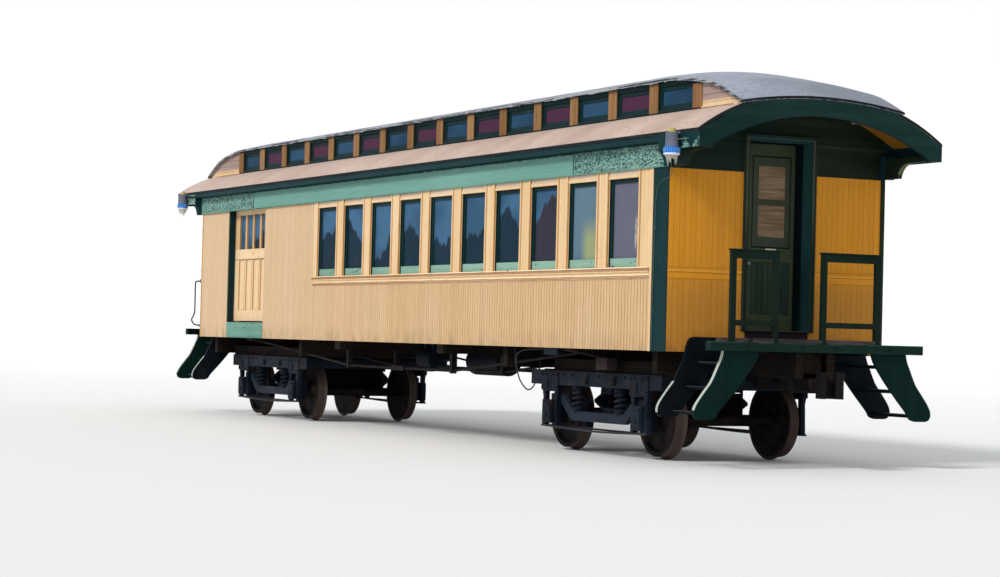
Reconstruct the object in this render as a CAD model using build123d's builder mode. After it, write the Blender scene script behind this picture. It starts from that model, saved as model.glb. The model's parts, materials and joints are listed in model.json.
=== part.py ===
"""Wooden clerestory car with open end platforms, used as a caboose.

Millimetres. X runs along the car, Y across it and Z up from the bottom of the wheel flanges.
The origin lies midway between the trucks. Right means the side at -Y, front the end at +X.
"""

import os
from math import hypot, sqrt

from build123d import *

os.makedirs("parts", exist_ok=True)

# Running gear
tread_diameter = 838
flange_height = 28
wheel_width = 130
flange_width = 32
back_to_back = 1360
axle_diameter = 130
journal_diameter = 94
wheel_base = 2134
truck_behind_end = 2210
running_gap = 0.3
moving_gap = 6

# Truck frame
frame_plane = 965
wheel_piece_width = 170
wheel_piece_depth = 170
wheel_piece_top = 950
wheel_piece_half_length = 1560
pedestal_half_width = 215
pedestal_thickness = 60
pedestal_bottom = 302
pedestal_neck = 45
pedestal_toe = 30
tie_bar_depth = 18
journal_box_width = 230
journal_box_top = 600
journal_box_bottom = 325
journal_box_depth = 190
journal_box_lid = 12
equalizer_thickness = 60
equalizer_depth = 112
equalizer_low = 370
equalizer_drop_half = 640
spring_spacing = 1000
spring_diameter = 128
transom_gap = 320
transom_width = 80
bolster_width = 250
bolster_top = 955
bolster_depth = 215
elliptic_half_span = 390
elliptic_height = 250
elliptic_width = 130
elliptic_plane = 765
leaf_stack = 34
plank_depth = 40
hanger_plane = 600
hanger_thickness = 30
hanger_width = 60
side_bearing_plane = 780
side_bearing_width = 120
side_bearing_length = 220
centre_plate_radius = 160
beam_behind_face = 75
beam_hanger_size = 26
beam_hanger_inboard = 100
shoe_width = 90
shoe_length = 300

# Body shell
body_length = 14840
body_width = 2790
wall_thickness = 100
sheathing_thickness = 22
sill_above_rail = 1194
floor_above_sill = 240
floor_thickness = 45
sill_width = 130
inner_sill_plane = 640
inner_sill_width = 110
centre_sill_plane = 210
centre_sill_width = 120
end_sill_thickness = 150
body_bolster_width = 260
body_bolster_drop = 110
body_bolster_rise = 60
body_bolster_tip_drop = 30
needle_beam_place = 1700
needle_beam_width = 180
needle_beam_drop = 120
needle_beam_rise = 40
partition_thickness = 40
partition_behind_belt = 30
partition_doorway = 760
partition_head = 2000

# Side windows, counted from the front end
window_count = 10
window_pitch = 951
window_width = 656
window_header = 96
window_end_margin = 651
belt_height = 905
belt_depth = 111
belt_rear_end = 10040
belt_proud = 32
corner_board_width = 370
sash_recess = 22
sash_thickness = 40
sash_stile = 45
sash_bottom_rail = 110
glass_thickness = 6

# Baggage doorway, on both sides near the rear end
baggage_rear_margin = 1260
baggage_width = 1550
baggage_leaf_overlap = 40
baggage_leaf_thickness = 45
baggage_leaf_gap = 8
baggage_pane_count = 4
baggage_pane_width = 240
baggage_pane_pitch = 310
baggage_pane_height = 530
baggage_top_rail = 120
baggage_middle_rail = 165
baggage_panel_bottom = 430
track_height = 10
track_width = 12
shoe_height = 12
baggage_travel = 1500

# Letter board and eaves
letter_board_drop = 344
letter_board_height = 250
letter_board_proud = 30
eave_overhang = 151
eave_height = 2334
eave_fascia_inset = 10

# Roof
deck_thickness = 30
deck_bulge = 22
clerestory_inset = 408
clerestory_foot = 2630
clerestory_wall = 60
clerestory_wall_drop = 60
roof_overhang = 50
roof_thickness = 30
# one row for each cross-section of a roof end: distance beyond the end wall, edge and crown heights
roof_stations = (
    (-1500, 3009, 3175),
    (-1250, 3009, 3174),
    (-600, 3004, 3138),
    (-100, 2955, 3058),
    (300, 2878, 2965),
    (600, 2762, 2850),
    (840, 2652, 2749),
)
clerestory_count = 15
clerestory_pitch = 939
clerestory_window_width = 739
clerestory_window_height = 262
clerestory_window_bottom = 2670
clerestory_front_margin = 231
clerestory_sash_rail = 48
clerestory_sash_thickness = 28
clerestory_sash_recess = 22

# Hoods over the platforms
hood_length = 840
bow_thickness = 50
bow_foot_depth = 164
bow_foot_width = 126
bow_crown_drop = 210
hood_side_thickness = 46
bracket_depth = 162
bracket_foot = 80
bracket_thickness = 70

# End doorways
doorway_width = 810
doorway_head = 2326
jamb_depth = 345
jamb_thickness = 30
casing_width = 60
casing_proud = 25
leaf_thickness = 45
leaf_gap = 8
leaf_light_width = 346
# one row for each light of an end door: bottom and top above the sill line
leaf_lights = ((1281, 1637), (1698, 2052))
leaf_panel_bottom = 430
leaf_panel_top = 1010
panel_sink = 14
leaf_frame_width = 470
leaf_frame_bottom = 1175
leaf_frame_top = 2150
knob_inboard = 160
knob_height = 992
knob_radius = 26
hinge_pin_radius = 7
hinge_barrel_radius = 12
hinge_length = 110
hinge_heights = (480, 1900)

# Platforms and steps
end_beam_depth = 99
end_beam_bottom = 24
end_beam_thickness = 110
end_beam_inset = 45
platform_board = 40
platform_sill_width = 120
platform_sill_planes = (210, 640)
step_board_thickness = 40
step_board_bottom = -705
step_board_width = 345
step_board_inboard = 250
step_lean = 300
tread_count = 3
tread_rise = 262
tread_depth = 250
tread_thickness = 35

# Guard rails: one row for each section, with its edges across the car
guard_sections = ((-1106, -515), (30, 780))
guard_top = 1080
guard_low_rail = 290
guard_post = 60
guard_rail_depth = 85
guard_thickness = 50
guard_inset = 10

# Couplers and what hangs below the floor
coupler_above_rail = 876
coupler_reach = 330
coupler_head_height = 280
coupler_head_length = 265
knuckle_nose = 75
# the head from above, each point as its distance ahead of the head's foot and to the left of the middle
guard_arm = ((0, 65), (0, -65), (60, -120), (200, -150), (235, -150), (235, -105), (130, -60))
throat = ((95, -10), (140, 35))
knuckle = ((235, 20), (215, 120), (60, 130))
shank_size = 130
shank_inside = 350
draft_sill_depth = 230
draft_sill_inside = 450
carrier_thickness = 22
rod_diameter = 32
rod_planes = (450, 1180)
rod_low = 880
rod_anchor = 1170
queen_post_size = 70
turnbuckle_length = 420
# one row for each drum: place of its rear end, length, distance to the left of the middle, and radius
drums = ((-1250, 420, -210, 150), (-420, 950, 210, 190))
drum_drop = 230
push_rod_length = 520
wiring_box_length = 340
wiring_box_ahead = 660

# Lamps on the right side, and the wire of the front one
lamp_out = 75
lamp_above_eave = 6
# one row for each turn of the lamp's outline: drop below its top and radius
lamp_outline = ((0, 28), (16, 28), (22, 66), (200, 66), (216, 94), (262, 94), (290, 78), (385, 58))
front_lamp_beyond = 470
rear_lamp_beyond = 380
lamp_arm = 36
wire_radius = 5
wire_start_drop = 234
# the wire's turn under the hood: distance beyond the end wall, out from the side wall and below the eave
wire_turn = (250, 90, 404)
# one row for each bend of the wire on the side wall: distance behind the wall's end and below the eave
wire_bends = ((160, 534), (300, 884))
# the wire's foot: distance behind the wall's end and height above the sills
wire_foot = (330, 20)

# Places worked out from the sizes above
half_length = body_length / 2
half_width = body_width / 2
truck_centre = half_length - truck_behind_end
wheel_radius = tread_diameter / 2
axle_height = wheel_radius + flange_height
sill_line = flange_height + sill_above_rail
floor_top = sill_line + floor_above_sill
floor_bottom = floor_top - floor_thickness
wall_inside = half_width - wall_thickness
sheathing_inside = half_width - sheathing_thickness
clerestory_plane = half_width - clerestory_inset
roof_half = clerestory_plane + roof_overhang
foot_height = sill_line + clerestory_foot
eave_plane = half_width + eave_overhang
eave_line = sill_line + eave_height
hood_end = half_length + hood_length
bow_inside = hood_end - bow_thickness
bow_foot = eave_line - deck_thickness - bow_foot_depth
bow_foot_half = eave_plane - bow_foot_width
bracket_line = bow_foot - bracket_depth
end_beam_half_length = half_width - end_beam_inset
step_well_half = half_width - step_board_inboard - step_board_width
platform_top = sill_line + end_beam_bottom + end_beam_depth + platform_board
letter_bottom = eave_line - letter_board_drop
window_bottom = sill_line + belt_height
window_top = letter_bottom - window_header
wheel_piece_bottom = wheel_piece_top - wheel_piece_depth
equalizer_top = equalizer_low + equalizer_depth
bolster_bottom = bolster_top - bolster_depth
plank_top = bolster_bottom - elliptic_height
body_bolster_bottom = sill_line - body_bolster_drop
baggage_low_x = -half_length + baggage_rear_margin
baggage_high_x = baggage_low_x + baggage_width
baggage_leaf_outside = wall_inside - baggage_leaf_gap
partition_x = half_length - belt_rear_end - partition_behind_belt


def block(x_span, y_span, z_span, mode=Mode.ADD):
    """Adds a rectangular block between two corners to the part that is open."""
    spans = (x_span, y_span, z_span)
    with Locations(tuple((low + high) / 2 for low, high in spans)):
        Box(*(abs(high - low) for low, high in spans), mode=mode)


def both_sides(x_span, y_span, z_span, mode=Mode.ADD):
    """Adds the same block on each side of the car's middle plane."""
    block(x_span, y_span, z_span, mode)
    block(x_span, (-y_span[1], -y_span[0]), z_span, mode)


def about(middle, width):
    """Low and high ends of a span of the given width."""
    return middle - width / 2, middle + width / 2


def arc_height(y, start, end, bulge):
    """Height at y of the arc that rises by bulge above its chord from start to end."""
    run = start[0] - end[0]
    rise = end[1] - start[1]
    chord = hypot(run, rise)
    radius = (chord**2 / 4 + bulge**2) / (2 * bulge)
    back = radius - bulge
    centre_y = (start[0] + end[0]) / 2 - back * rise / chord
    centre_z = (start[1] + end[1]) / 2 - back * run / chord
    return centre_z + sqrt(radius**2 - (y - centre_y) ** 2)


def deck_under(y):
    """Height of the underside of the lower deck at a distance y from the middle."""
    return arc_height(
        y,
        (eave_plane, eave_line - deck_thickness),
        (clerestory_plane, foot_height - deck_thickness),
        deck_bulge,
    )


def window_span(index):
    """Low and high ends of a side window opening."""
    high = half_length - window_end_margin - index * window_pitch
    return high - window_width, high


def clerestory_span(index):
    """Low and high ends of a clerestory window opening."""
    high = half_length - clerestory_front_margin - index * clerestory_pitch
    return high - clerestory_window_width, high


def roof_section(edge, crown, top):
    """Section of the upper roof's thickness, or of all the space up to top above its underside."""
    low = sill_line + edge - roof_thickness
    high = low + top
    with BuildSketch() as section:
        with BuildLine():
            SagittaArc((-roof_half, low), (roof_half, low), crown - edge)
            Line((roof_half, low), (roof_half, high))
            if top > roof_thickness:
                Line((roof_half, high), (-roof_half, high))
            else:
                SagittaArc((roof_half, high), (-roof_half, high), edge - crown)
            Line((-roof_half, high), (-roof_half, low))
        make_face()
    return section.sketch


def deck_section(thickness):
    """Section of a lower deck, with the thickness measured upwards from its underside."""
    eave = (-eave_plane, eave_line - deck_thickness)
    foot = (-clerestory_plane, foot_height - deck_thickness)
    with BuildSketch() as section:
        with BuildLine():
            SagittaArc(eave, foot, deck_bulge)
            Line(foot, (foot[0], foot[1] + thickness))
            SagittaArc((foot[0], foot[1] + thickness), (eave[0], eave[1] + thickness), -deck_bulge)
            Line((eave[0], eave[1] + thickness), eave)
        make_face()
    return section.sketch


# Upper roof: a straight arched length, and a nose at each end that comes down to the hood
straight_start, straight_edge, straight_crown = roof_stations[0]
with BuildPart() as upper_roof:
    for offset, edge, crown in roof_stations:
        with BuildSketch(Plane.YZ.offset(half_length + offset)):
            add(roof_section(edge, crown, roof_thickness))
    loft(ruled=True)
    mirror(about=Plane.YZ)
    with BuildSketch(Plane.YZ.offset(-half_length - straight_start)):
        add(roof_section(straight_edge, straight_crown, roof_thickness))
    extrude(amount=2 * (half_length + straight_start))
upper_roof.part.label = "upper_roof"
export_step(upper_roof.part, "parts/upper_roof.step")

# Lower decks: one each side, from the eave to the foot of the clerestory
with BuildPart() as lower_decks:
    with BuildSketch(Plane.YZ.offset(-hood_end)):
        add(deck_section(deck_thickness))
    extrude(amount=2 * hood_end)
    mirror(about=Plane.XZ)
lower_decks.part.label = "lower_decks"
export_step(lower_decks.part, "parts/lower_decks.step")

# The space above the undersides of the roof and the decks, cut out of what stands below them
roof_reach = sill_line + straight_crown
with BuildPart() as above_roof:
    for offset, edge, crown in roof_stations:
        with BuildSketch(Plane.YZ.offset(half_length + offset)):
            add(roof_section(edge, crown, roof_reach))
    loft(ruled=True)
    mirror(about=Plane.YZ)
    with BuildSketch(Plane.YZ.offset(-half_length - straight_start)):
        add(roof_section(straight_edge, straight_crown, roof_reach))
    extrude(amount=2 * (half_length + straight_start))
with BuildPart() as above_decks:
    with BuildSketch(Plane.YZ.offset(-hood_end)):
        add(deck_section(roof_reach))
    extrude(amount=2 * hood_end)
    mirror(about=Plane.XZ)

# Clerestory walls, with their windows and the closed panels under the roof's noses
with BuildPart() as clerestory_walls:
    wall_span = (-clerestory_plane, -clerestory_plane + clerestory_wall)
    wall_z = (foot_height - clerestory_wall_drop, foot_height + roof_reach / 4)
    block((-bow_inside, bow_inside), wall_span, wall_z)
    sash_low = sill_line + clerestory_window_bottom
    sash_z = (sash_low, sash_low + clerestory_window_height)
    for index in range(clerestory_count):
        block(clerestory_span(index), wall_span, sash_z, Mode.SUBTRACT)
    add(above_roof.part, mode=Mode.SUBTRACT)
    add(upper_roof.part, mode=Mode.SUBTRACT)
    mirror(about=Plane.XZ)
clerestory_walls.part.label = "clerestory_walls"
export_step(clerestory_walls.part, "parts/clerestory_walls.step")

# Clerestory sashes and their panes
clerestory_sash_outside = clerestory_plane - clerestory_sash_recess
clerestory_pane_z = (sash_z[0] + clerestory_sash_rail, sash_z[1] - clerestory_sash_rail)
with BuildPart() as clerestory_sashes:
    sash_span = (-clerestory_sash_outside, -clerestory_sash_outside + clerestory_sash_thickness)
    for index in range(clerestory_count):
        low, high = clerestory_span(index)
        block((low, high), sash_span, sash_z)
        pane_x = (low + clerestory_sash_rail, high - clerestory_sash_rail)
        block(pane_x, sash_span, clerestory_pane_z, Mode.SUBTRACT)
    mirror(about=Plane.XZ)
clerestory_sashes.part.label = "clerestory_sashes"
export_step(clerestory_sashes.part, "parts/clerestory_sashes.step")

with BuildPart() as clerestory_glass:
    pane_y = about(-clerestory_sash_outside + clerestory_sash_thickness / 2, glass_thickness)
    for index in range(clerestory_count):
        low, high = clerestory_span(index)
        block((low + clerestory_sash_rail, high - clerestory_sash_rail), pane_y, clerestory_pane_z)
    mirror(about=Plane.XZ)
clerestory_glass.part.label = "clerestory_glass"
export_step(clerestory_glass.part, "parts/clerestory_glass.step")

# Side walls: posts and sheathing, window and baggage openings, and the belt rail
with BuildPart() as side_walls:
    wall_length = body_length - 2 * sheathing_thickness
    with BuildSketch(Plane.YZ.offset(-wall_length / 2)):
        with BuildLine():
            Polyline(
                (-half_width, sill_line),
                (-half_width, deck_under(half_width)),
                (-wall_inside, deck_under(wall_inside)),
                (-wall_inside, floor_top),
                (-sheathing_inside, floor_top),
                (-sheathing_inside, sill_line),
                close=True,
            )
        make_face()
    extrude(amount=wall_length)
    opening_y = (-half_width, -wall_inside)
    for index in range(window_count):
        block(window_span(index), opening_y, (window_bottom, window_top), Mode.SUBTRACT)
    block((baggage_low_x, baggage_high_x), opening_y, (floor_top, letter_bottom), Mode.SUBTRACT)
    with BuildSketch(Plane.YZ.offset(half_length - belt_rear_end)):
        with BuildLine():
            Polyline(
                (-half_width, window_bottom),
                (-half_width - belt_proud, window_bottom - belt_proud / 3),
                (-half_width - belt_proud, window_bottom - belt_depth * 0.45),
                (-half_width - belt_proud / 2, window_bottom - belt_depth * 0.55),
                (-half_width - belt_proud / 2, window_bottom - belt_depth * 0.9),
                (-half_width, window_bottom - belt_depth),
                close=True,
            )
        make_face()
    extrude(amount=belt_rear_end - corner_board_width)
    mirror(about=Plane.XZ)
side_walls.part.label = "side_walls"
export_step(side_walls.part, "parts/side_walls.step")

# Side sashes and their panes
sash_outside = half_width - sash_recess
pane_bottom = window_bottom + sash_bottom_rail
pane_top = window_top - sash_stile
with BuildPart() as side_sashes:
    sash_span = (-sash_outside, -sash_outside + sash_thickness)
    for index in range(window_count):
        low, high = window_span(index)
        block((low, high), sash_span, (window_bottom, window_top))
        block((low + sash_stile, high - sash_stile), sash_span, (pane_bottom, pane_top), Mode.SUBTRACT)
    mirror(about=Plane.XZ)
side_sashes.part.label = "side_sashes"
export_step(side_sashes.part, "parts/side_sashes.step")

with BuildPart() as side_glass:
    pane_y = about(-sash_outside + sash_thickness / 2, glass_thickness)
    for index in range(window_count):
        low, high = window_span(index)
        block((low + sash_stile, high - sash_stile), pane_y, (pane_bottom, pane_top))
    mirror(about=Plane.XZ)
side_glass.part.label = "side_glass"
export_step(side_glass.part, "parts/side_glass.step")

# Letter boards with the boxed eaves above them
letter_top = letter_bottom + letter_board_height
with BuildPart() as letter_boards:
    with BuildSketch(Plane.YZ.offset(-half_length)):
        with BuildLine():
            eave_face = eave_plane - eave_fascia_inset
            Polyline(
                (-half_width, letter_bottom),
                (-half_width - letter_board_proud, letter_bottom),
                (-half_width - letter_board_proud, letter_top),
                (-eave_face, letter_top),
                (-eave_face, deck_under(eave_face)),
                (-half_width, deck_under(half_width)),
                close=True,
            )
        make_face()
    extrude(amount=body_length)
    mirror(about=Plane.XZ)
letter_boards.part.label = "letter_boards"
export_step(letter_boards.part, "parts/letter_boards.step")

# End walls: sheathing to the corners, a doorway with deep jambs and a casing
casing_edge = doorway_width / 2 + casing_width
head_line = sill_line + doorway_head
jamb_edge = doorway_width / 2 + jamb_thickness
with BuildPart() as end_walls:
    outside_x = (half_length - sheathing_thickness, half_length)
    block(outside_x, (-half_width, half_width), (sill_line, foot_height + roof_reach / 4))
    inside_x = (half_length - wall_thickness, half_length)
    block(inside_x, (-wall_inside, wall_inside), (floor_top, foot_height + roof_reach / 4))
    jamb_x = (half_length - jamb_depth, half_length)
    block(jamb_x, (-jamb_edge, jamb_edge), (floor_top, head_line + jamb_thickness))
    casing_x = (half_length, half_length + casing_proud)
    block(casing_x, (-casing_edge, casing_edge), (floor_top, head_line + casing_width))
    block(
        (half_length - jamb_depth, half_length + casing_proud),
        about(0, doorway_width),
        (floor_top, head_line),
        Mode.SUBTRACT,
    )
    add(above_roof.part, mode=Mode.SUBTRACT)
    add(above_decks.part, mode=Mode.SUBTRACT)
    add(clerestory_walls.part, mode=Mode.SUBTRACT)
    mirror(about=Plane.YZ)
end_walls.part.label = "end_walls"
export_step(end_walls.part, "parts/end_walls.step")

# Hoods: a bow at each end, side boards under the decks and brackets at the body's corners
with BuildPart() as hoods:
    with BuildSketch(Plane.YZ.offset(bow_inside)):
        bow_crown = sill_line + roof_stations[-1][2] - bow_crown_drop
        bow_roof = sill_line + roof_stations[-1][2] - roof_thickness / 2
        with BuildLine():
            Line((-bow_foot_half, bow_foot), (-eave_plane, bow_foot))
            Line((-eave_plane, bow_foot), (-eave_plane, eave_line - deck_thickness))
            Line((-eave_plane, eave_line - deck_thickness), (-clerestory_plane, foot_height))
            ThreePointArc((-clerestory_plane, foot_height), (0, bow_roof), (clerestory_plane, foot_height))
            Line((clerestory_plane, foot_height), (eave_plane, eave_line - deck_thickness))
            Line((eave_plane, eave_line - deck_thickness), (eave_plane, bow_foot))
            Line((eave_plane, bow_foot), (bow_foot_half, bow_foot))
            ThreePointArc((bow_foot_half, bow_foot), (0, bow_crown), (-bow_foot_half, bow_foot))
        make_face()
    extrude(amount=bow_thickness)
    side_board_y = (eave_plane - hood_side_thickness, eave_plane)
    both_sides((half_length, bow_inside), side_board_y, (bow_foot, foot_height))
    bracket_out = half_width + bracket_foot
    bracket_in = half_width - bracket_foot
    with BuildSketch(Plane.YZ.offset(half_length)):
        with BuildLine():
            Line((bracket_in, bracket_line), (bracket_out, bracket_line))
            Line((bracket_out, bracket_line), (bracket_out, bracket_line + bracket_foot / 2))
            SagittaArc((bracket_out, bracket_line + bracket_foot / 2), (eave_plane, bow_foot), 12)
            Line((eave_plane, bow_foot), (eave_plane, letter_top))
            Line((eave_plane, letter_top), (bracket_in, letter_top))
            Line((bracket_in, letter_top), (bracket_in, bracket_line))
        make_face()
        mirror(about=Plane.YZ)
    extrude(amount=bracket_thickness)
    add(lower_decks.part, mode=Mode.SUBTRACT)
    add(above_decks.part, mode=Mode.SUBTRACT)
    add(above_roof.part, mode=Mode.SUBTRACT)
    mirror(about=Plane.YZ)
hoods.part.label = "hoods"
export_step(hoods.part, "parts/hoods.step")

# Floor and the frame below it
with BuildPart() as floor:
    block(
        (-half_length + sheathing_thickness, half_length - sheathing_thickness),
        (-sheathing_inside, sheathing_inside),
        (floor_bottom, floor_top),
    )
floor.part.label = "floor"
export_step(floor.part, "parts/floor.step")

# one row for each pair of lengthwise sills: distance of the middle from the car's middle, and width
sill_rows = (
    (sheathing_inside - sill_width / 2, sill_width),
    (inner_sill_plane, inner_sill_width),
    (centre_sill_plane, centre_sill_width),
)
frame_end = half_length - sheathing_thickness
with BuildPart() as underframe:
    for middle, width in sill_rows:
        both_sides((-frame_end, frame_end), about(middle, width), (sill_line, floor_bottom))
    for end in (-1, 1):
        end_sill_x = sorted((end * (frame_end - end_sill_thickness), end * frame_end))
        block(end_sill_x, (-sheathing_inside, sheathing_inside), (sill_line, floor_bottom))
        with BuildSketch(Plane.YZ.offset(end * truck_centre - body_bolster_width / 2)):
            with BuildLine():
                Polyline(
                    (-sheathing_inside, sill_line + body_bolster_rise),
                    (-sheathing_inside, sill_line - body_bolster_tip_drop),
                    (-side_bearing_plane - side_bearing_width, body_bolster_bottom),
                    (side_bearing_plane + side_bearing_width, body_bolster_bottom),
                    (sheathing_inside, sill_line - body_bolster_tip_drop),
                    (sheathing_inside, sill_line + body_bolster_rise),
                    close=True,
                )
            make_face()
        extrude(amount=body_bolster_width)
        needle_x = about(end * needle_beam_place, needle_beam_width)
        needle_z = (sill_line - needle_beam_drop, sill_line + needle_beam_rise)
        block(needle_x, (-sheathing_inside, sheathing_inside), needle_z)
underframe.part.label = "underframe"
export_step(underframe.part, "parts/underframe.step")

# Truss rods: four long rods over queen posts, each with a turnbuckle in the middle
rod_end = truck_centre - body_bolster_width / 2 - 3
with BuildPart() as truss_rods:
    for plane in (*rod_planes, *(-plane for plane in rod_planes)):
        with BuildLine(Plane.XZ.offset(-plane)) as rod:
            Polyline(
                (-rod_end, rod_anchor),
                (-needle_beam_place, rod_low),
                (needle_beam_place, rod_low),
                (rod_end, rod_anchor),
            )
        with BuildSketch(rod.line ^ 0):
            Circle(rod_diameter / 2)
        sweep(path=rod.line, transition=Transition.RIGHT)
        for place in (-needle_beam_place, needle_beam_place):
            block(
                about(place, queen_post_size),
                about(plane, queen_post_size),
                (rod_low - rod_diameter, sill_line - needle_beam_drop),
            )
        block(about(0, turnbuckle_length), about(plane, 2 * rod_diameter), about(rod_low, 2 * rod_diameter))
truss_rods.part.label = "truss_rods"
export_step(truss_rods.part, "parts/truss_rods.step")

# Under the floor: brake cylinder with its push rod and lever, air tank, and a small box at the right sill
hang_height = sill_line - drum_drop
cylinder_start, cylinder_length, cylinder_plane, cylinder_radius = drums[0]
with BuildPart() as underfloor_gear:
    for start, length, plane, radius in drums:
        with BuildSketch(Plane.YZ.offset(start)):
            with Locations((plane, hang_height)):
                Circle(radius)
        extrude(amount=length)
        for place in (start + length * 0.2, start + length * 0.8):
            block(about(place, 60), about(plane, 100), (hang_height, sill_line))
    cylinder_end = cylinder_start + cylinder_length
    with BuildSketch(Plane.YZ.offset(cylinder_end)):
        with Locations((cylinder_plane, hang_height)):
            Circle(rod_diameter / 2)
    extrude(amount=push_rod_length)
    lever_z = (hang_height - cylinder_radius, sill_line)
    block(about(cylinder_end + push_rod_length, 50), about(cylinder_plane, 26), lever_z)
    box_start = truck_centre - wiring_box_ahead
    block(
        (box_start, box_start + wiring_box_length),
        (-sheathing_inside + 10, -sheathing_inside + 100),
        (sill_line - 85, sill_line),
    )
underfloor_gear.part.label = "underfloor_gear"
export_step(underfloor_gear.part, "parts/underfloor_gear.step")

# Partition between the baggage room and the coach room
with BuildPart() as partition:
    with BuildSketch(Plane.YZ.offset(partition_x)):
        with BuildLine():
            room_top = foot_height - clerestory_wall_drop
            Polyline(
                (-wall_inside, floor_top),
                (-wall_inside, deck_under(wall_inside)),
                (-clerestory_plane, foot_height - deck_thickness),
                (-clerestory_plane, room_top),
                (clerestory_plane, room_top),
                (clerestory_plane, foot_height - deck_thickness),
                (wall_inside, deck_under(wall_inside)),
                (wall_inside, floor_top),
                close=True,
            )
        make_face()
    extrude(amount=-partition_thickness)
    block(
        (partition_x - partition_thickness, partition_x),
        about(0, partition_doorway),
        (floor_top, floor_top + partition_head),
        Mode.SUBTRACT,
    )
partition.part.label = "partition"
export_step(partition.part, "parts/partition.step")

# End doors: each leaf has two boarded lights over a beaded panel, a knob and hinge barrels
leaf_inside = half_length - jamb_depth
leaf_outside = leaf_inside + leaf_thickness
leaf_half = doorway_width / 2 - leaf_gap
pin_x = leaf_inside - hinge_barrel_radius - 2
pin_y = (leaf_half + doorway_width / 2) / 2
with BuildPart() as end_door_front:
    block((leaf_inside, leaf_outside), (-leaf_half, leaf_half), (floor_top + leaf_gap, head_line - leaf_gap))
    sunk_x = (leaf_outside - panel_sink, leaf_outside)
    frame_z = (sill_line + leaf_frame_bottom, sill_line + leaf_frame_top)
    block(sunk_x, about(0, leaf_frame_width), frame_z, Mode.SUBTRACT)
    panel_z = (sill_line + leaf_panel_bottom, sill_line + leaf_panel_top)
    block(sunk_x, about(0, leaf_frame_width), panel_z, Mode.SUBTRACT)
    for low, high in leaf_lights:
        light_x = (leaf_outside - 2 * panel_sink, leaf_outside)
        block(light_x, about(0, leaf_light_width), (sill_line + low, sill_line + high), Mode.SUBTRACT)
    with Locations((leaf_outside, knob_inboard - leaf_half, sill_line + knob_height)):
        Cylinder(knob_radius / 3, 2 * knob_radius, rotation=(0, 90, 0))
    with Locations((leaf_outside + 1.5 * knob_radius, knob_inboard - leaf_half, sill_line + knob_height)):
        Cylinder(knob_radius, knob_radius, rotation=(0, 90, 0))
    for height in hinge_heights:
        middle = sill_line + height
        block((pin_x + 4, leaf_inside), (pin_y - 75, pin_y), about(middle, hinge_length))
        with Locations((pin_x, pin_y, middle)):
            Cylinder(hinge_barrel_radius, hinge_length)
            Cylinder(hinge_pin_radius + running_gap, hinge_length, mode=Mode.SUBTRACT)
end_door_front.part.label = "end_door_front"
export_step(end_door_front.part, "parts/end_door_front.step")

with BuildPart() as end_door_rear:
    mirror(end_door_front.part, about=Plane.YZ)
end_door_rear.part.label = "end_door_rear"
export_step(end_door_rear.part, "parts/end_door_rear.step")

# Baggage door on the right: it slides inside the wall, on a track
leaf_x = (baggage_low_x - baggage_leaf_overlap, baggage_high_x + baggage_leaf_overlap)
leaf_y = (-baggage_leaf_outside, -baggage_leaf_outside + baggage_leaf_thickness)
leaf_z = (floor_top + track_height + running_gap + shoe_height, letter_bottom + baggage_leaf_overlap)
first_pane = (baggage_low_x + baggage_high_x) / 2 - baggage_pane_pitch * (baggage_pane_count - 1) / 2
pane_top = leaf_z[1] - baggage_top_rail
pane_z = (pane_top - baggage_pane_height, pane_top)
panel_z = (sill_line + baggage_panel_bottom, pane_z[0] - baggage_middle_rail)
with BuildPart() as baggage_door_right:
    block(leaf_x, leaf_y, leaf_z)
    sunk_y = (leaf_y[0], leaf_y[0] + panel_sink)
    for index in range(baggage_pane_count):
        pane_x = about(first_pane + index * baggage_pane_pitch, baggage_pane_width)
        block(pane_x, leaf_y, pane_z, Mode.SUBTRACT)
        block(pane_x, sunk_y, panel_z, Mode.SUBTRACT)
    for end in (leaf_x[0] + 150, leaf_x[1] - 150):
        shoe_z = (floor_top + track_height + running_gap, leaf_z[0])
        block(about(end, 120), about(sum(leaf_y) / 2, 2 * track_width), shoe_z)
baggage_door_right.part.label = "baggage_door_right"
export_step(baggage_door_right.part, "parts/baggage_door_right.step")

with BuildPart() as baggage_door_left:
    mirror(baggage_door_right.part, about=Plane.XZ)
baggage_door_left.part.label = "baggage_door_left"
export_step(baggage_door_left.part, "parts/baggage_door_left.step")

with BuildPart() as baggage_glass_right:
    for index in range(baggage_pane_count):
        pane_x = about(first_pane + index * baggage_pane_pitch, baggage_pane_width)
        block(pane_x, about(sum(leaf_y) / 2, glass_thickness), pane_z)
baggage_glass_right.part.label = "baggage_glass_right"
export_step(baggage_glass_right.part, "parts/baggage_glass_right.step")

with BuildPart() as baggage_glass_left:
    mirror(baggage_glass_right.part, about=Plane.XZ)
baggage_glass_left.part.label = "baggage_glass_left"
export_step(baggage_glass_left.part, "parts/baggage_glass_left.step")

# Door hardware: hinge pins on the jambs of the end doors, and rails and guides for the baggage doors
track_x = (leaf_x[0], leaf_x[1] + baggage_travel)
guide_z = (leaf_z[1] + moving_gap, leaf_z[1] + moving_gap + 30)
pin_half = hinge_length / 2 + 32
with BuildPart() as door_hardware:
    for height in hinge_heights:
        middle = sill_line + height
        with Locations((pin_x, pin_y, middle)):
            Cylinder(hinge_pin_radius, 2 * pin_half)
        for low in (middle - pin_half, middle + hinge_length / 2 + moving_gap):
            arm_z = (low, low + pin_half - hinge_length / 2 - moving_gap)
            block((pin_x - 7, leaf_inside), (pin_y, pin_y + 30), arm_z)
    mirror(about=Plane.YZ)
    both_sides(track_x, about(sum(leaf_y) / 2, track_width), (floor_top, floor_top + track_height))
    both_sides(track_x, (-wall_inside, leaf_y[1] + moving_gap + 8), guide_z)
    both_sides(track_x, (leaf_y[1] + moving_gap, leaf_y[1] + moving_gap + 8), (leaf_z[1] - 20, guide_z[1]))
door_hardware.part.label = "door_hardware"
export_step(door_hardware.part, "parts/door_hardware.step")

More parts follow.
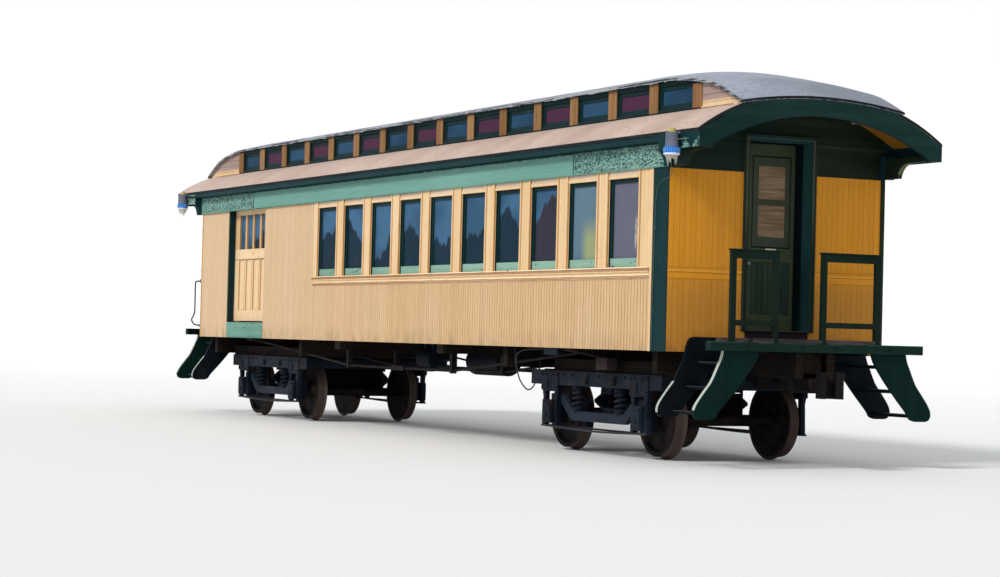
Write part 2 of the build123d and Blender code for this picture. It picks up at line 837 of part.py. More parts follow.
# Platforms: sills out from the body, an end beam, and boards on top that are notched round the posts
# of the guard rails
guard_x = (hood_end - guard_inset - guard_thickness, hood_end - guard_inset)
guard_posts = [
    post_y
    for low, high in guard_sections
    for post_y in ((low, low + guard_post), (high - guard_post, high))
]
beam_inside = hood_end - end_beam_thickness
beam_low = sill_line + end_beam_bottom
beam_top = beam_low + end_beam_depth
with BuildPart() as platforms:
    block((beam_inside, hood_end), (-end_beam_half_length, end_beam_half_length), (beam_low, beam_top))
    for plane in platform_sill_planes:
        both_sides((half_length, beam_inside), about(plane, platform_sill_width), (sill_line, beam_top))
    block((half_length, hood_end), (-step_well_half, step_well_half), (beam_top, platform_top))
    for post_y in guard_posts:
        notch_y = (post_y[0] - running_gap, post_y[1] + running_gap)
        block((guard_x[0] - running_gap, hood_end), notch_y, (beam_top, platform_top), Mode.SUBTRACT)
    mirror(about=Plane.YZ)
platforms.part.label = "platforms"
export_step(platforms.part, "parts/platforms.step")

# Steps: at each corner of the platforms, treads between two leaning side boards
outer_board_x = (beam_inside + 20, beam_inside + 20 + step_board_thickness)
inner_board_x = (half_length, half_length + step_board_thickness)
board_top = platform_top
board_foot = sill_line + step_board_bottom
with BuildPart() as steps:
    for board_x in (inner_board_x, outer_board_x):
        with BuildSketch(Plane.YZ.offset(board_x[0])) as board:
            with BuildLine():
                near = -half_width + step_board_inboard
                Polyline(
                    (near, board_top),
                    (near - step_lean, board_foot),
                    (near - step_lean + step_board_width, board_foot),
                    (near + step_board_width, board_top),
                    close=True,
                )
            make_face()
            fillet(board.vertices().group_by(Axis.Y)[0], radius=90)
        extrude(amount=step_board_thickness)
    block(outer_board_x, (-half_width, -step_well_half + 10), (beam_low, platform_top), Mode.SUBTRACT)
    for index in range(tread_count):
        tread_top = platform_top - (index + 1) * tread_rise
        share = (board_top - tread_top) / (board_top - board_foot)
        nosing = -half_width + step_board_inboard - step_lean * share + 12
        block(
            (inner_board_x[1], outer_board_x[0]),
            (nosing, nosing + tread_depth),
            (tread_top - tread_thickness, tread_top),
        )
    mirror(about=Plane.XZ)
    mirror(about=Plane.YZ)
steps.part.label = "steps"
export_step(steps.part, "parts/steps.step")

# Guard rails: two timber frames across the end of each platform, with a way through between them
with BuildPart() as guard_rails:
    rail_top = sill_line + guard_top
    low_rail_bottom = sill_line + guard_low_rail
    for low, high in guard_sections:
        block(guard_x, (low, high), (rail_top - guard_rail_depth, rail_top))
        block(guard_x, (low, high), (low_rail_bottom, low_rail_bottom + guard_post))
    for post_y in guard_posts:
        block(guard_x, post_y, (beam_top, rail_top))
    mirror(about=Plane.YZ)
guard_rails.part.label = "guard_rails"
export_step(guard_rails.part, "parts/guard_rails.step")

# Couplers: draft sills under the platforms, a shank and a head with its hook
coupler_line = flange_height + coupler_above_rail
shank_x = (half_length - shank_inside, hood_end + coupler_reach - coupler_head_length)
with BuildPart() as couplers:
    draft_y = about(platform_sill_planes[0], platform_sill_width)
    draft_z = (sill_line - draft_sill_depth, sill_line)
    both_sides((half_length - draft_sill_inside, beam_inside), draft_y, draft_z)
    gear_x = (shank_x[0], half_length + 150)
    block(gear_x, (-draft_y[0], draft_y[0]), (coupler_line, sill_line - 100))
    block(shank_x, about(0, shank_size), about(coupler_line, shank_size))
    carrier_x = (beam_inside - 60, beam_inside)
    carrier_top = coupler_line - shank_size / 2
    carrier_low = carrier_top - carrier_thickness
    block(carrier_x, (-draft_y[1], draft_y[1]), (carrier_low, carrier_top))
    both_sides(carrier_x, (draft_y[1] - carrier_thickness, draft_y[1]), (carrier_low, draft_z[0]))
    with BuildSketch(Plane((shank_x[1], 0, coupler_line - coupler_head_height / 2))):
        with BuildLine():
            Polyline(*guard_arm)
            ThreePointArc(guard_arm[-1], *throat)
            Line(throat[-1], knuckle[0])
            ThreePointArc(knuckle[0], (coupler_head_length, knuckle_nose), knuckle[1])
            Polyline(*knuckle[1:], guard_arm[0])
        make_face()
    extrude(amount=coupler_head_height)
    mirror(about=Plane.YZ)
couplers.part.label = "couplers"
export_step(couplers.part, "parts/couplers.step")

# Lamps on arms at the eaves of the hoods, and the front one's wire
lamp_y = -eave_plane - lamp_out
lamp_line = eave_line + lamp_above_eave
lamp_spots = (half_length + front_lamp_beyond, -half_length - rear_lamp_beyond)
with BuildPart() as lamps:
    for spot in lamp_spots:
        with BuildSketch(Plane((spot, lamp_y, lamp_line), x_dir=(1, 0, 0), z_dir=(0, -1, 0))):
            with BuildLine():
                outline = [(radius, -drop) for drop, radius in lamp_outline]
                Polyline((0, 0), *outline, (0, -lamp_outline[-1][0]), close=True)
            make_face()
        revolve(axis=Axis((spot, lamp_y, 0), (0, 0, 1)))
        arm_z = (lamp_line - 120, lamp_line - 120 + lamp_arm)
        block(about(spot, lamp_arm), (lamp_y, -eave_plane), arm_z)
lamps.part.label = "lamps"
export_step(lamps.part, "parts/lamps.step")

with BuildPart() as lamp_wire:
    wire_y = -half_width - wire_radius - running_gap
    lamp_radius = max(radius for _, radius in lamp_outline)
    lamp_side = lamp_spots[0] - lamp_radius - wire_radius - running_gap
    turn_beyond, turn_out, turn_drop = wire_turn
    foot_behind, foot_above = wire_foot
    with BuildLine() as run:
        Polyline(
            (lamp_side, lamp_y, eave_line - wire_start_drop),
            (half_length + turn_beyond, -half_width - turn_out, eave_line - turn_drop),
            *((half_length - behind, wire_y, eave_line - drop) for behind, drop in wire_bends),
            (half_length - foot_behind, wire_y, sill_line + foot_above),
        )
    with BuildSketch(run.line ^ 0):
        Circle(wire_radius)
    sweep(path=run.line, transition=Transition.RIGHT)
lamp_wire.part.label = "lamp_wire"
export_step(lamp_wire.part, "parts/lamp_wire.step")

# Truck frame: wheel pieces, transoms, end pieces and pedestals with their tie bars
jaw_half = journal_box_width / 2
jaw_top = journal_box_top + 100
with BuildPart() as truck_frame:
    wheel_piece_y = about(frame_plane, wheel_piece_width)
    between_y = (-wheel_piece_y[0], wheel_piece_y[0])
    piece_z = (wheel_piece_bottom, wheel_piece_top)
    both_sides((-wheel_piece_half_length, wheel_piece_half_length), wheel_piece_y, piece_z)
    for end in (-1, 1):
        block(about(end * (transom_gap + transom_width) / 2, transom_width), between_y, piece_z)
        end_piece_x = about(end * (wheel_piece_half_length - 40), 80)
        block(end_piece_x, between_y, (wheel_piece_bottom + 20, wheel_piece_top - 20))
    pedestal_plane = wheel_piece_y[1] - pedestal_thickness
    with BuildSketch(Plane.XZ.offset(pedestal_plane)):
        for axle in (-wheel_base / 2, wheel_base / 2):
            with BuildLine():
                Polyline(
                    (axle - pedestal_half_width, wheel_piece_bottom),
                    (axle - pedestal_half_width + pedestal_neck, jaw_top - 60),
                    (axle - pedestal_half_width + pedestal_toe, pedestal_bottom),
                    (axle - jaw_half, pedestal_bottom),
                    (axle - jaw_half, jaw_top),
                    (axle + jaw_half, jaw_top),
                    (axle + jaw_half, pedestal_bottom),
                    (axle + pedestal_half_width - pedestal_toe, pedestal_bottom),
                    (axle + pedestal_half_width - pedestal_neck, jaw_top - 60),
                    (axle + pedestal_half_width, wheel_piece_bottom),
                    close=True,
                )
            make_face()
    extrude(amount=pedestal_thickness)
    bar_half = wheel_base / 2 + pedestal_half_width
    bar_y = (-wheel_piece_y[1], -pedestal_plane)
    block((-bar_half, bar_half), bar_y, (pedestal_bottom - tie_bar_depth, pedestal_bottom))
    mirror(about=Plane.XZ)

# Journal boxes, held in the pedestals, each with a blind bore for its journal
journal_end = wheel_piece_y[1] + 10
journal_bore = journal_diameter / 2 + running_gap
bore_length = 2 * (journal_end + running_gap)
with BuildPart() as journal_boxes:
    box_y = (journal_end - journal_box_depth, journal_end + 30)
    for axle in (-wheel_base / 2, wheel_base / 2):
        box_x = about(axle, journal_box_width)
        both_sides(box_x, box_y, (journal_box_bottom, journal_box_top))
        lid_x = about(axle, journal_box_width - 40)
        lid_z = (journal_box_bottom + 30, journal_box_top - 60)
        both_sides(lid_x, (box_y[1], box_y[1] + journal_box_lid), lid_z)
        with Locations((axle, 0, axle_height)):
            Cylinder(journal_bore, bore_length, rotation=(90, 0, 0), mode=Mode.SUBTRACT)

# Equalizers: drop bars from box to box, inside the pedestals
with BuildPart() as equalizers:
    with BuildSketch(Plane.XZ.offset(pedestal_plane - equalizer_thickness - 2)) as bar:
        with BuildLine():
            reach = wheel_base / 2 + 80
            shoulder = journal_box_top + 75
            half = [
                (reach, journal_box_top),
                (reach, shoulder),
                (wheel_base / 2 - 190, shoulder),
                (equalizer_drop_half - 45, equalizer_top),
                (-equalizer_drop_half + 45, equalizer_top),
                (-wheel_base / 2 + 190, shoulder),
                (-reach, shoulder),
                (-reach, journal_box_top),
                (-wheel_base / 2 + 130, journal_box_top),
                (-equalizer_drop_half, equalizer_low),
                (equalizer_drop_half, equalizer_low),
                (wheel_base / 2 - 130, journal_box_top),
            ]
            Polyline(*half, close=True)
        make_face()
        fillet(bar.vertices().sort_by(Axis.Y)[:2], radius=70)
    extrude(amount=equalizer_thickness)
    mirror(about=Plane.XZ)

# Springs: coils on the equalizers, and elliptic springs between the spring plank and the bolster
coil_plane = pedestal_plane - 2 - equalizer_thickness / 2
coil_height = wheel_piece_bottom - equalizer_top
with BuildPart() as springs:
    for middle in (-spring_spacing / 2, spring_spacing / 2):
        with Locations((middle, -coil_plane, equalizer_top + coil_height / 2)):
            Cylinder(spring_diameter / 2, coil_height)
    with BuildSketch(Plane.XZ.offset(elliptic_plane - elliptic_width / 2)):
        with BuildLine():
            low, high = plank_top, bolster_bottom
            middle = (low + high) / 2
            ThreePointArc((-elliptic_half_span, middle), (0, low), (elliptic_half_span, middle))
            ThreePointArc((elliptic_half_span, middle), (0, high), (-elliptic_half_span, middle))
        make_face()
        with BuildLine():
            tip = elliptic_half_span - 70
            ThreePointArc((-tip, middle), (0, low + leaf_stack), (tip, middle))
            ThreePointArc((tip, middle), (0, high - leaf_stack), (-tip, middle))
        make_face(mode=Mode.SUBTRACT)
    extrude(amount=elliptic_width)
    mirror(about=Plane.XZ)

# Truck bolster with its centre plate, side bearings, spring plank and swing hangers
with BuildPart() as truck_bolster:
    bolster_end = wheel_piece_y[0] - 10
    block(about(0, bolster_width), (-bolster_end, bolster_end), (bolster_bottom, bolster_top))
    with Locations((0, 0, (bolster_top + body_bolster_bottom - running_gap) / 2)):
        Cylinder(centre_plate_radius, body_bolster_bottom - running_gap - bolster_top)
    bearing_z = (bolster_top, body_bolster_bottom - moving_gap)
    both_sides(about(0, side_bearing_length), about(side_bearing_plane, side_bearing_width), bearing_z)
    plank_y = (-elliptic_plane - 80, elliptic_plane + 80)
    plank_half = transom_gap / 2 - hanger_thickness
    plank_low = plank_top - plank_depth
    block((-plank_half, plank_half), plank_y, (plank_low, plank_top))
    hanger_z = (plank_low, wheel_piece_bottom + 60)
    for end in (-1, 1):
        hanger_x = about(end * (plank_half + hanger_thickness / 2), hanger_thickness)
        both_sides(hanger_x, about(hanger_plane, hanger_width), hanger_z)

# Brake beams with shoes, hung inside the wheels
back = back_to_back / 2
front = back + wheel_width
tread_plane = back + flange_width
with BuildPart() as brake_beams:
    shoe_face = wheel_radius + moving_gap
    hung_z = (wheel_piece_bottom, wheel_piece_bottom + beam_hanger_size)
    for end in (-1, 1):
        axle = end * wheel_base / 2
        beam_middle = axle - end * (shoe_face + beam_behind_face)
        block(about(beam_middle, 60), (-tread_plane - 60, tread_plane + 60), about(axle_height, 80))
        shoe_x = sorted((axle - end * (shoe_face + 50), axle - end * (shoe_face - 12)))
        both_sides(shoe_x, about(tread_plane + shoe_width / 2, shoe_width), about(axle_height, shoe_length))
        hanger_y = about(tread_plane - beam_hanger_inboard, beam_hanger_size)
        both_sides(about(beam_middle, beam_hanger_size), hanger_y, (axle_height, hung_z[1]))
        transom_face = end * (transom_gap / 2 + transom_width)
        both_sides(sorted((transom_face, beam_middle + end * beam_hanger_size / 2)), hanger_y, hung_z)
    for axle in (-wheel_base / 2, wheel_base / 2):
        with Locations((axle, 0, axle_height)):
            Cylinder(shoe_face, 2 * front, rotation=(90, 0, 0), mode=Mode.SUBTRACT)

# Wheelset: an axle with two flanged wheels, turned as one
axle_radius = axle_diameter / 2
journal_radius = journal_diameter / 2
with BuildPart() as wheelset:
    with BuildSketch(Plane.YZ):
        with BuildLine():
            Polyline(
                (0, 0),
                (0, axle_radius),
                (back, axle_radius),
                (back, wheel_radius + flange_height),
                (back + flange_width, wheel_radius),
                (front, wheel_radius - 4),
                (front, wheel_radius - 55),
                (front - 45, wheel_radius - 75),
                (front - 45, 150),
                (front - 8, 120),
                (front - 8, journal_radius),
                (journal_end, journal_radius),
                (journal_end, 0),
                close=True,
            )
        make_face()
    revolve(axis=Axis.Y)
    mirror(about=Plane.XZ)

# Each truck's pieces at their places under the car
truck_pieces = {
    "truck_frame": truck_frame,
    "journal_boxes": journal_boxes,
    "equalizers": equalizers,
    "springs": springs,
    "truck_bolster": truck_bolster,
    "brake_beams": brake_beams,
}
for end, centre in (("front", truck_centre), ("rear", -truck_centre)):
    for name, piece in truck_pieces.items():
        with BuildPart() as placed:
            add(piece.part.moved(Location((centre, 0, 0))))
        placed.part.label = f"{name}_{end}"
        export_step(placed.part, f"parts/{name}_{end}.step")
    for axle, shift in (("outer", wheel_base / 2), ("inner", -wheel_base / 2)):
        place = centre + shift if end == "front" else centre - shift
        with BuildPart() as placed:
            add(wheelset.part.moved(Location((place, 0, axle_height))))
        placed.part.label = f"wheelset_{end}_{axle}"
        export_step(placed.part, f"parts/wheelset_{end}_{axle}.step")
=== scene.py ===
"""Looks of the old wooden caboose: finishes, trim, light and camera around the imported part.

All meshes are in metres in the part's own frame: X along the car towards the front platform,
Y across it towards the left side, Z up from the lowest points of the wheel flanges.
"""

from __future__ import annotations

import json
import logging
import math
from dataclasses import dataclass, field
from enum import Enum
from typing import Any, Callable, Sequence

import bpy
import numpy as np
from mathutils import Matrix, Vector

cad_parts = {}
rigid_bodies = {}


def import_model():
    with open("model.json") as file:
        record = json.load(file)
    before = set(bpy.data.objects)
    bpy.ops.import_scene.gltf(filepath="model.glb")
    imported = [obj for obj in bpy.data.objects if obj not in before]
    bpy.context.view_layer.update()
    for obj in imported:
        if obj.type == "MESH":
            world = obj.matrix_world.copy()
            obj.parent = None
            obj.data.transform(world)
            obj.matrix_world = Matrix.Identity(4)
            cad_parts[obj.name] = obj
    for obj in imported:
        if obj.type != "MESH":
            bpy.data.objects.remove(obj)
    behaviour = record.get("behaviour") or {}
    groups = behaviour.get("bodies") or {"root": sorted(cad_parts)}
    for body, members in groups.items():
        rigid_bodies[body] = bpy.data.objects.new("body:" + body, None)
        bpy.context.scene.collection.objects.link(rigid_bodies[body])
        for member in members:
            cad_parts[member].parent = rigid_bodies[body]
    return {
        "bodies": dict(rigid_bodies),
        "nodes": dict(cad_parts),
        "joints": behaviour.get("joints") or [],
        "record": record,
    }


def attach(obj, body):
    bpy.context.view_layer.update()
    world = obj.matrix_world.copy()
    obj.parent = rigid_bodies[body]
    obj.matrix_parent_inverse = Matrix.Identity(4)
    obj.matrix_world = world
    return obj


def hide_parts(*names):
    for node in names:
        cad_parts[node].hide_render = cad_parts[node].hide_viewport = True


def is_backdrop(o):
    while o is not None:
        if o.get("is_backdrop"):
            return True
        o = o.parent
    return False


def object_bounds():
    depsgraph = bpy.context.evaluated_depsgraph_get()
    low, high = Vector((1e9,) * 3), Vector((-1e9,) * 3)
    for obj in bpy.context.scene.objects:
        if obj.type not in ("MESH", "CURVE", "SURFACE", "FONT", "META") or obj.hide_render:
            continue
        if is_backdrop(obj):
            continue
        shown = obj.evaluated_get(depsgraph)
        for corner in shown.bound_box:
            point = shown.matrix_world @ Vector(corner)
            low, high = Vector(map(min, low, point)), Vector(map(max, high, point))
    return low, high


LOG = logging.getLogger("caboose")
Colour = tuple[float, float, float]
Number = Any


# Sizes of the car that several pieces share


@dataclass(frozen=True)
class Car:
    """Main lines of the car body, in metres."""

    half_length: float = 7.42
    half_width: float = 1.395
    sill: float = 1.222
    floor: float = 1.462
    window_count: int = 10
    window_pitch: float = 0.951
    window_width: float = 0.656
    window_first: float = 0.651
    window_low: float = 2.127
    window_high: float = 3.116
    belt_rear: float = -2.62
    letter_low: float = 3.212
    letter_high: float = 3.462
    eave_plane: float = 1.546
    eave: float = 3.556
    clerestory_plane: float = 0.987
    foot: float = 3.852
    hood_end: float = 8.26
    door_rear: float = -6.16
    door_front: float = -4.61

    def window_spans(self) -> np.ndarray:
        """Low and high ends of each side window, front one first.

        Returns:
            An array of one row of two numbers for each window.
        """
        high = self.half_length - self.window_first - self.window_pitch * np.arange(self.window_count)
        return np.stack([high - self.window_width, high], axis=1)


CAR = Car()


# Shader maths


class Value:
    """A number that varies over a surface, as the output socket of a shader node."""

    def __init__(self, graph: "Graph", socket: bpy.types.NodeSocket) -> None:
        """Keeps the socket and the graph that it belongs to.

        Args:
            graph: Graph that adds the nodes.
            socket: Output socket that carries the number.
        """
        self.graph = graph
        self.socket = socket

    def maths(self, operation: str, *others: Number) -> "Value":
        """Adds one Math node fed by this value first.

        Args:
            operation: Name of the Math node's operation.
            others: The node's further inputs, values or numbers.

        Returns:
            The node's output.
        """
        return self.graph.maths(operation, self, *others)

    def __add__(self, other: Number) -> "Value":
        """Sum."""
        return self.maths("ADD", other)

    __radd__ = __add__

    def __mul__(self, other: Number) -> "Value":
        """Product."""
        return self.maths("MULTIPLY", other)

    __rmul__ = __mul__

    def __sub__(self, other: Number) -> "Value":
        """Difference."""
        return self.maths("SUBTRACT", other)

    def __rsub__(self, other: Number) -> "Value":
        """Difference with this value taken away."""
        return self.graph.maths("SUBTRACT", other, self)

    def __truediv__(self, other: Number) -> "Value":
        """Quotient."""
        return self.maths("DIVIDE", other)

    def __abs__(self) -> "Value":
        """Size without its sign."""
        return self.maths("ABSOLUTE")

    def fract(self) -> "Value":
        """Part after the decimal point."""
        return self.maths("FRACT")

    def floor(self) -> "Value":
        """Next whole number below."""
        return self.maths("FLOOR")

    def high(self, other: Number) -> "Value":
        """Larger of the two."""
        return self.maths("MAXIMUM", other)

    def low(self, other: Number) -> "Value":
        """Smaller of the two."""
        return self.maths("MINIMUM", other)

    def rise(self, start: float, end: float) -> "Value":
        """Goes from 0 at start to 1 at end in a smooth step, or back where end is the lower.

        Args:
            start: Where the result is 0.
            end: Where the result is 1.

        Returns:
            The step, clamped outside the span.
        """
        settings = {"interpolation_type": "SMOOTHSTEP"}
        if start <= end:
            node = self.graph.add("ShaderNodeMapRange", settings, Value=self, **{"From Min": start, "From Max": end})
            return Value(self.graph, node.outputs["Result"])
        return 1.0 - self.rise(end, start)

    def inside(self, low: float, high: float, soft: float = 0.002) -> "Value":
        """Is 1 between low and high and 0 outside, with soft edges.

        Args:
            low: Lower edge.
            high: Upper edge.
            soft: Width of each edge.

        Returns:
            The mask.
        """
        return self.rise(low - soft / 2, low + soft / 2) * self.rise(high + soft / 2, high - soft / 2)


class Graph:
    """The node tree of one material, with a Principled shader at its end."""

    def __init__(self, name: str) -> None:
        """Starts an empty tree.

        Args:
            name: Name of the material.
        """
        self.material = bpy.data.materials.new(name)
        self.material.use_nodes = True
        self.tree = self.material.node_tree
        self.tree.nodes.clear()
        self.shader = self.add("ShaderNodeBsdfPrincipled")
        output = self.add("ShaderNodeOutputMaterial")
        self.tree.links.new(self.shader.outputs["BSDF"], output.inputs["Surface"])
        self._position: tuple[Value, Value, Value] | None = None

    def add(self, kind: str, settings: dict[str, Any] | None = None, **inputs: Number) -> bpy.types.Node:
        """Adds any node.

        Args:
            kind: The node's type name.
            settings: The node's own properties, set before its sockets.
            inputs: Values, colours, sockets or numbers for its inputs, by socket name.

        Returns:
            The new node.
        """
        node = self.tree.nodes.new(kind)
        for key, value in (settings or {}).items():
            setattr(node, key, value)
        for key, value in inputs.items():
            self.feed(node.inputs[key], value)
        return node

    def feed(self, socket: bpy.types.NodeSocket, value: Number) -> None:
        """Links a socket to a value, or sets it to a number or colour.

        Args:
            socket: Input socket.
            value: What goes in.
        """
        if isinstance(value, Value):
            self.tree.links.new(value.socket, socket)
        elif isinstance(value, bpy.types.NodeSocket):
            self.tree.links.new(value, socket)
        elif isinstance(value, tuple) and socket.type == "RGBA":
            socket.default_value = (*value, 1.0)
        else:
            socket.default_value = value

    def maths(self, operation: str, *inputs: Number) -> Value:
        """Adds one Math node.

        Args:
            operation: The node's operation.
            inputs: Its inputs in order.

        Returns:
            Its output.
        """
        node = self.add("ShaderNodeMath", {"operation": operation})
        for socket, value in zip(node.inputs, inputs):
            self.feed(socket, value)
        return Value(self, node.outputs[0])

    def position(self) -> tuple[Value, Value, Value]:
        """The point's place in the part's frame.

        Returns:
            Its X, Y and Z in metres.
        """
        if self._position is None:
            place = self.add("ShaderNodeTexCoord").outputs["Object"]
            split = self.add("ShaderNodeSeparateXYZ", Vector=place)
            self._place = place
            self._position = tuple(Value(self, socket) for socket in split.outputs)
        return self._position

    def stretched(self, stretch: Colour, shift: float = 0.0) -> bpy.types.NodeSocket:
        """The point's place, scaled along each axis.

        Args:
            stretch: Factor for each axis.
            shift: Distance to move the pattern along all axes.

        Returns:
            The vector's socket.
        """
        self.position()
        node = self.add("ShaderNodeMapping", Vector=self._place, Scale=stretch, Location=(shift, shift, shift))
        return node.outputs[0]

    def noise(self, scale: float, detail: float = 3.0, stretch: Colour = (1, 1, 1), shift: float = 0.0) -> Value:
        """Soft random pattern from 0 to 1.

        Args:
            scale: Number of blobs in a metre.
            detail: Octaves of finer pattern.
            stretch: Factor for each axis; a small one draws the pattern out along that axis.
            shift: Moves the pattern, so that two of them differ.

        Returns:
            The pattern.
        """
        vector = self.stretched(stretch, shift)
        node = self.add("ShaderNodeTexNoise", Vector=vector, Scale=scale, Detail=detail)
        return Value(self, node.outputs["Fac"])

    def cells(self, scale: float, stretch: Colour = (1, 1, 1), edges: bool = True, shift: float = 0.0) -> Value:
        """Irregular cells, as in cracked paint.

        Args:
            scale: Number of cells in a metre.
            stretch: Factor for each axis.
            edges: Gives the distance to the cell's edge if true, or else to its middle.
            shift: Moves the pattern.

        Returns:
            The distance.
        """
        feature = "DISTANCE_TO_EDGE" if edges else "F1"
        node = self.add(
            "ShaderNodeTexVoronoi", {"feature": feature}, Vector=self.stretched(stretch, shift), Scale=scale
        )
        return Value(self, node.outputs["Distance"])

    def mix(self, share: Number, first: Number, second: Number) -> bpy.types.NodeSocket:
        """Blends two colours.

        Args:
            share: Part of the second colour, from 0 to 1.
            first: Colour where the share is 0.
            second: Colour where the share is 1.

        Returns:
            The blended colour's socket.
        """
        node = self.tree.nodes.new("ShaderNodeMix")
        node.data_type = "RGBA"
        for key, value in ((0, share), (6, first), (7, second)):
            self.feed(node.inputs[key], value)
        return node.outputs[2]

    def finish(
        self,
        colour: Number,
        roughness: Number,
        height: Value | None = None,
        depth: float = 0.002,
        metallic: Number = 0.0,
        **others: Number,
    ) -> bpy.types.Material:
        """Feeds the shader and hands over the material.

        Args:
            colour: Base colour.
            roughness: Roughness.
            height: Relief from 0 to 1, or none.
            depth: Depth in metres of a relief of 1.
            metallic: Metallic.
            others: Further inputs of the shader, by name with underscores for spaces.

        Returns:
            The finished material.
        """
        self.feed(self.shader.inputs["Base Color"], colour)
        self.feed(self.shader.inputs["Roughness"], roughness)
        self.feed(self.shader.inputs["Metallic"], metallic)
        for key, value in others.items():
            self.feed(self.shader.inputs[key.replace("_", " ")], value)
        if height is not None:
            bump = self.add("ShaderNodeBump", Height=height, Distance=depth, Strength=1.0)
            self.tree.links.new(bump.outputs["Normal"], self.shader.inputs["Normal"])
        return self.material


class Along(Enum):
    """Axis that boards, grain or seams run along."""

    X = 0
    Y = 1
    Z = 2

    def stretch(self, factor: float) -> Colour:
        """Stretch factors that draw a pattern out along this axis.

        Args:
            factor: Factor on the axis; the two others keep 1.

        Returns:
            The three factors.
        """
        return tuple(factor if index == self.value else 1.0 for index in range(3))


# Coats and finishes


@dataclass(frozen=True)
class Layer:
    """Colour, roughness and relief of one coat, ready to be blended with others."""

    graph: Graph
    colour: Any
    roughness: Number
    height: Number

    def under(self, mask: Number, top: "Layer") -> "Layer":
        """Lays another coat over this one where the mask is 1.

        Args:
            mask: Share of the upper coat.
            top: The upper coat.

        Returns:
            The two together.
        """
        blend = lambda low, high: low + mask * (high - low)
        colour = self.graph.mix(mask, self.colour, top.colour)
        return Layer(self.graph, colour, blend(self.roughness, top.roughness), blend(self.height, top.height))

    def dirt_and_shade(self, mask: Number, colour: Colour = (0.035, 0.028, 0.02)) -> "Layer":
        """Lays a dull colour over the coat where the mask is 1: dirt, and painted shade where callers darken shaded
        places.

        Args:
            mask: Share of the laid colour.
            colour: The laid colour.

        Returns:
            The coat with the colour laid over it.
        """
        return self.under(mask, Layer(self.graph, colour, 0.9, self.height))

    def material(self, depth: float = 0.002, **others: Number) -> bpy.types.Material:
        """Makes the material of this coat.

        Args:
            depth: Depth in metres of a relief of 1.
            others: Further inputs of the shader.

        Returns:
            The finished material.
        """
        others.setdefault("Specular_IOR_Level", 0.06)
        return self.graph.finish(self.colour, self.roughness, self.height, depth, **others)


@dataclass(frozen=True)
class Paint:
    """Old paint on wood: it fades in blotches and streaks, and flakes off down to the wood."""

    colour: Colour
    faded: Colour
    bare: Colour = (0.30, 0.22, 0.15)
    fading: float = 0.6
    flaking: float = 0.1
    flake_size: float = 24.0
    grain: Along = Along.Z
    roughness: float = 0.5

    def layer(self, graph: Graph) -> Layer:
        """Works the coat out in a graph.

        Args:
            graph: The material's graph.

        Returns:
            The coat.
        """
        blotch = graph.noise(0.8, 4, self.grain.stretch(0.4), 3.1)
        streak = graph.noise(11.0, 3, self.grain.stretch(0.05), 7.7)
        fine = graph.noise(90.0, 2, self.grain.stretch(0.05), 1.3)
        fade = (blotch * 0.6 + streak * 0.4).rise(0.36, 0.66) * self.fading
        colour = graph.mix(fade, self.colour, self.faded)
        dark = tuple(part * 0.6 for part in self.colour)
        colour = graph.mix(fine.rise(0.45, 0.75) * 0.3, colour, dark)
        patch = graph.noise(1.7, 3, (1, 1, 1), 12.0)
        flake = graph.noise(self.flake_size, 5, self.grain.stretch(0.35), 5.5) + (patch - 0.5) * 0.35
        limit = 0.80 - self.flaking * 0.42
        chips = flake.rise(limit, limit + 0.03)
        colour = graph.mix(chips, colour, self.bare)
        roughness = self.roughness + fine * 0.12 + chips * 0.25
        height = (1.0 - chips) * 0.35 + fine * 0.2
        return Layer(graph, colour, roughness, height)


@dataclass(frozen=True)
class Boards:
    """Grooves between boards, with a slight difference of tone from board to board."""

    across: Along
    pitch: float = 0.062
    groove: float = 0.10
    shade: Colour = (0.16, 0.085, 0.03)
    strength: float = 0.75

    def over(self, layer: Layer) -> Layer:
        """Cuts the grooves into a coat.

        Args:
            layer: The coat on the boards.

        Returns:
            The coat with its grooves.
        """
        graph = layer.graph
        count = graph.position()[self.across.value] / self.pitch
        line = abs(count.fract() - 0.5).rise(0.5 - self.groove, 0.5 - self.groove * 0.35)
        chance = graph.add("ShaderNodeTexWhiteNoise", {"noise_dimensions": "1D"}, W=count.floor())
        tone = Value(graph, chance.outputs["Value"])
        colour = graph.mix(tone * 0.12, layer.colour, self.shade)
        broken = graph.noise(3.0, 2, (1, 1, 1), 9.0).rise(0.2, 0.6)
        colour = graph.mix(line * self.strength * (0.55 + broken * 0.45), colour, self.shade)
        return Layer(graph, colour, layer.roughness, layer.height * (1.0 - line) + line * -1.5)


CREAM = Paint((0.62, 0.405, 0.215), (0.67, 0.475, 0.29), (0.42, 0.26, 0.13), 0.7, 0.02, 20.0)
CREAM_TRIM = Paint((0.70, 0.48, 0.26), (0.80, 0.60, 0.39), (0.40, 0.21, 0.09), 0.8, 0.20, 16.0)
HEADER_PINK = Paint((0.56, 0.43, 0.33), (0.74, 0.57, 0.44), (0.40, 0.28, 0.20), 0.9, 0.15, 16.0, Along.X)
WORN_EDGE = Paint((0.40, 0.19, 0.050), (0.62, 0.36, 0.14), (0.24, 0.11, 0.05), 0.7, 0.35, 18.0)
GOLD = Paint((0.64, 0.265, 0.020), (0.54, 0.235, 0.036), (0.28, 0.12, 0.03), 0.6, 0.01, 20.0)
# Gold made lighter for the end walls' belt bead: a painted highlight.
GOLD_BEAD_HIGHLIGHT = Paint((0.68, 0.31, 0.04), (0.60, 0.28, 0.05), (0.32, 0.15, 0.04), 0.6, 0.08, 20.0)
DARK_TEAL = Paint((0.003, 0.021, 0.024), (0.009, 0.033, 0.037), (0.04, 0.075, 0.07), 0.6, 0.08, 14.0, roughness=0.5)
DARK_GREEN = Paint((0.010, 0.022, 0.014), (0.020, 0.036, 0.025), (0.04, 0.06, 0.04), 0.7, 0.05, 14.0, roughness=0.5)
FRIEZE_GREEN = Paint((0.005, 0.011, 0.006), (0.022, 0.032, 0.019), (0.04, 0.05, 0.03), 0.9, 0.02, 14.0, Along.Y)
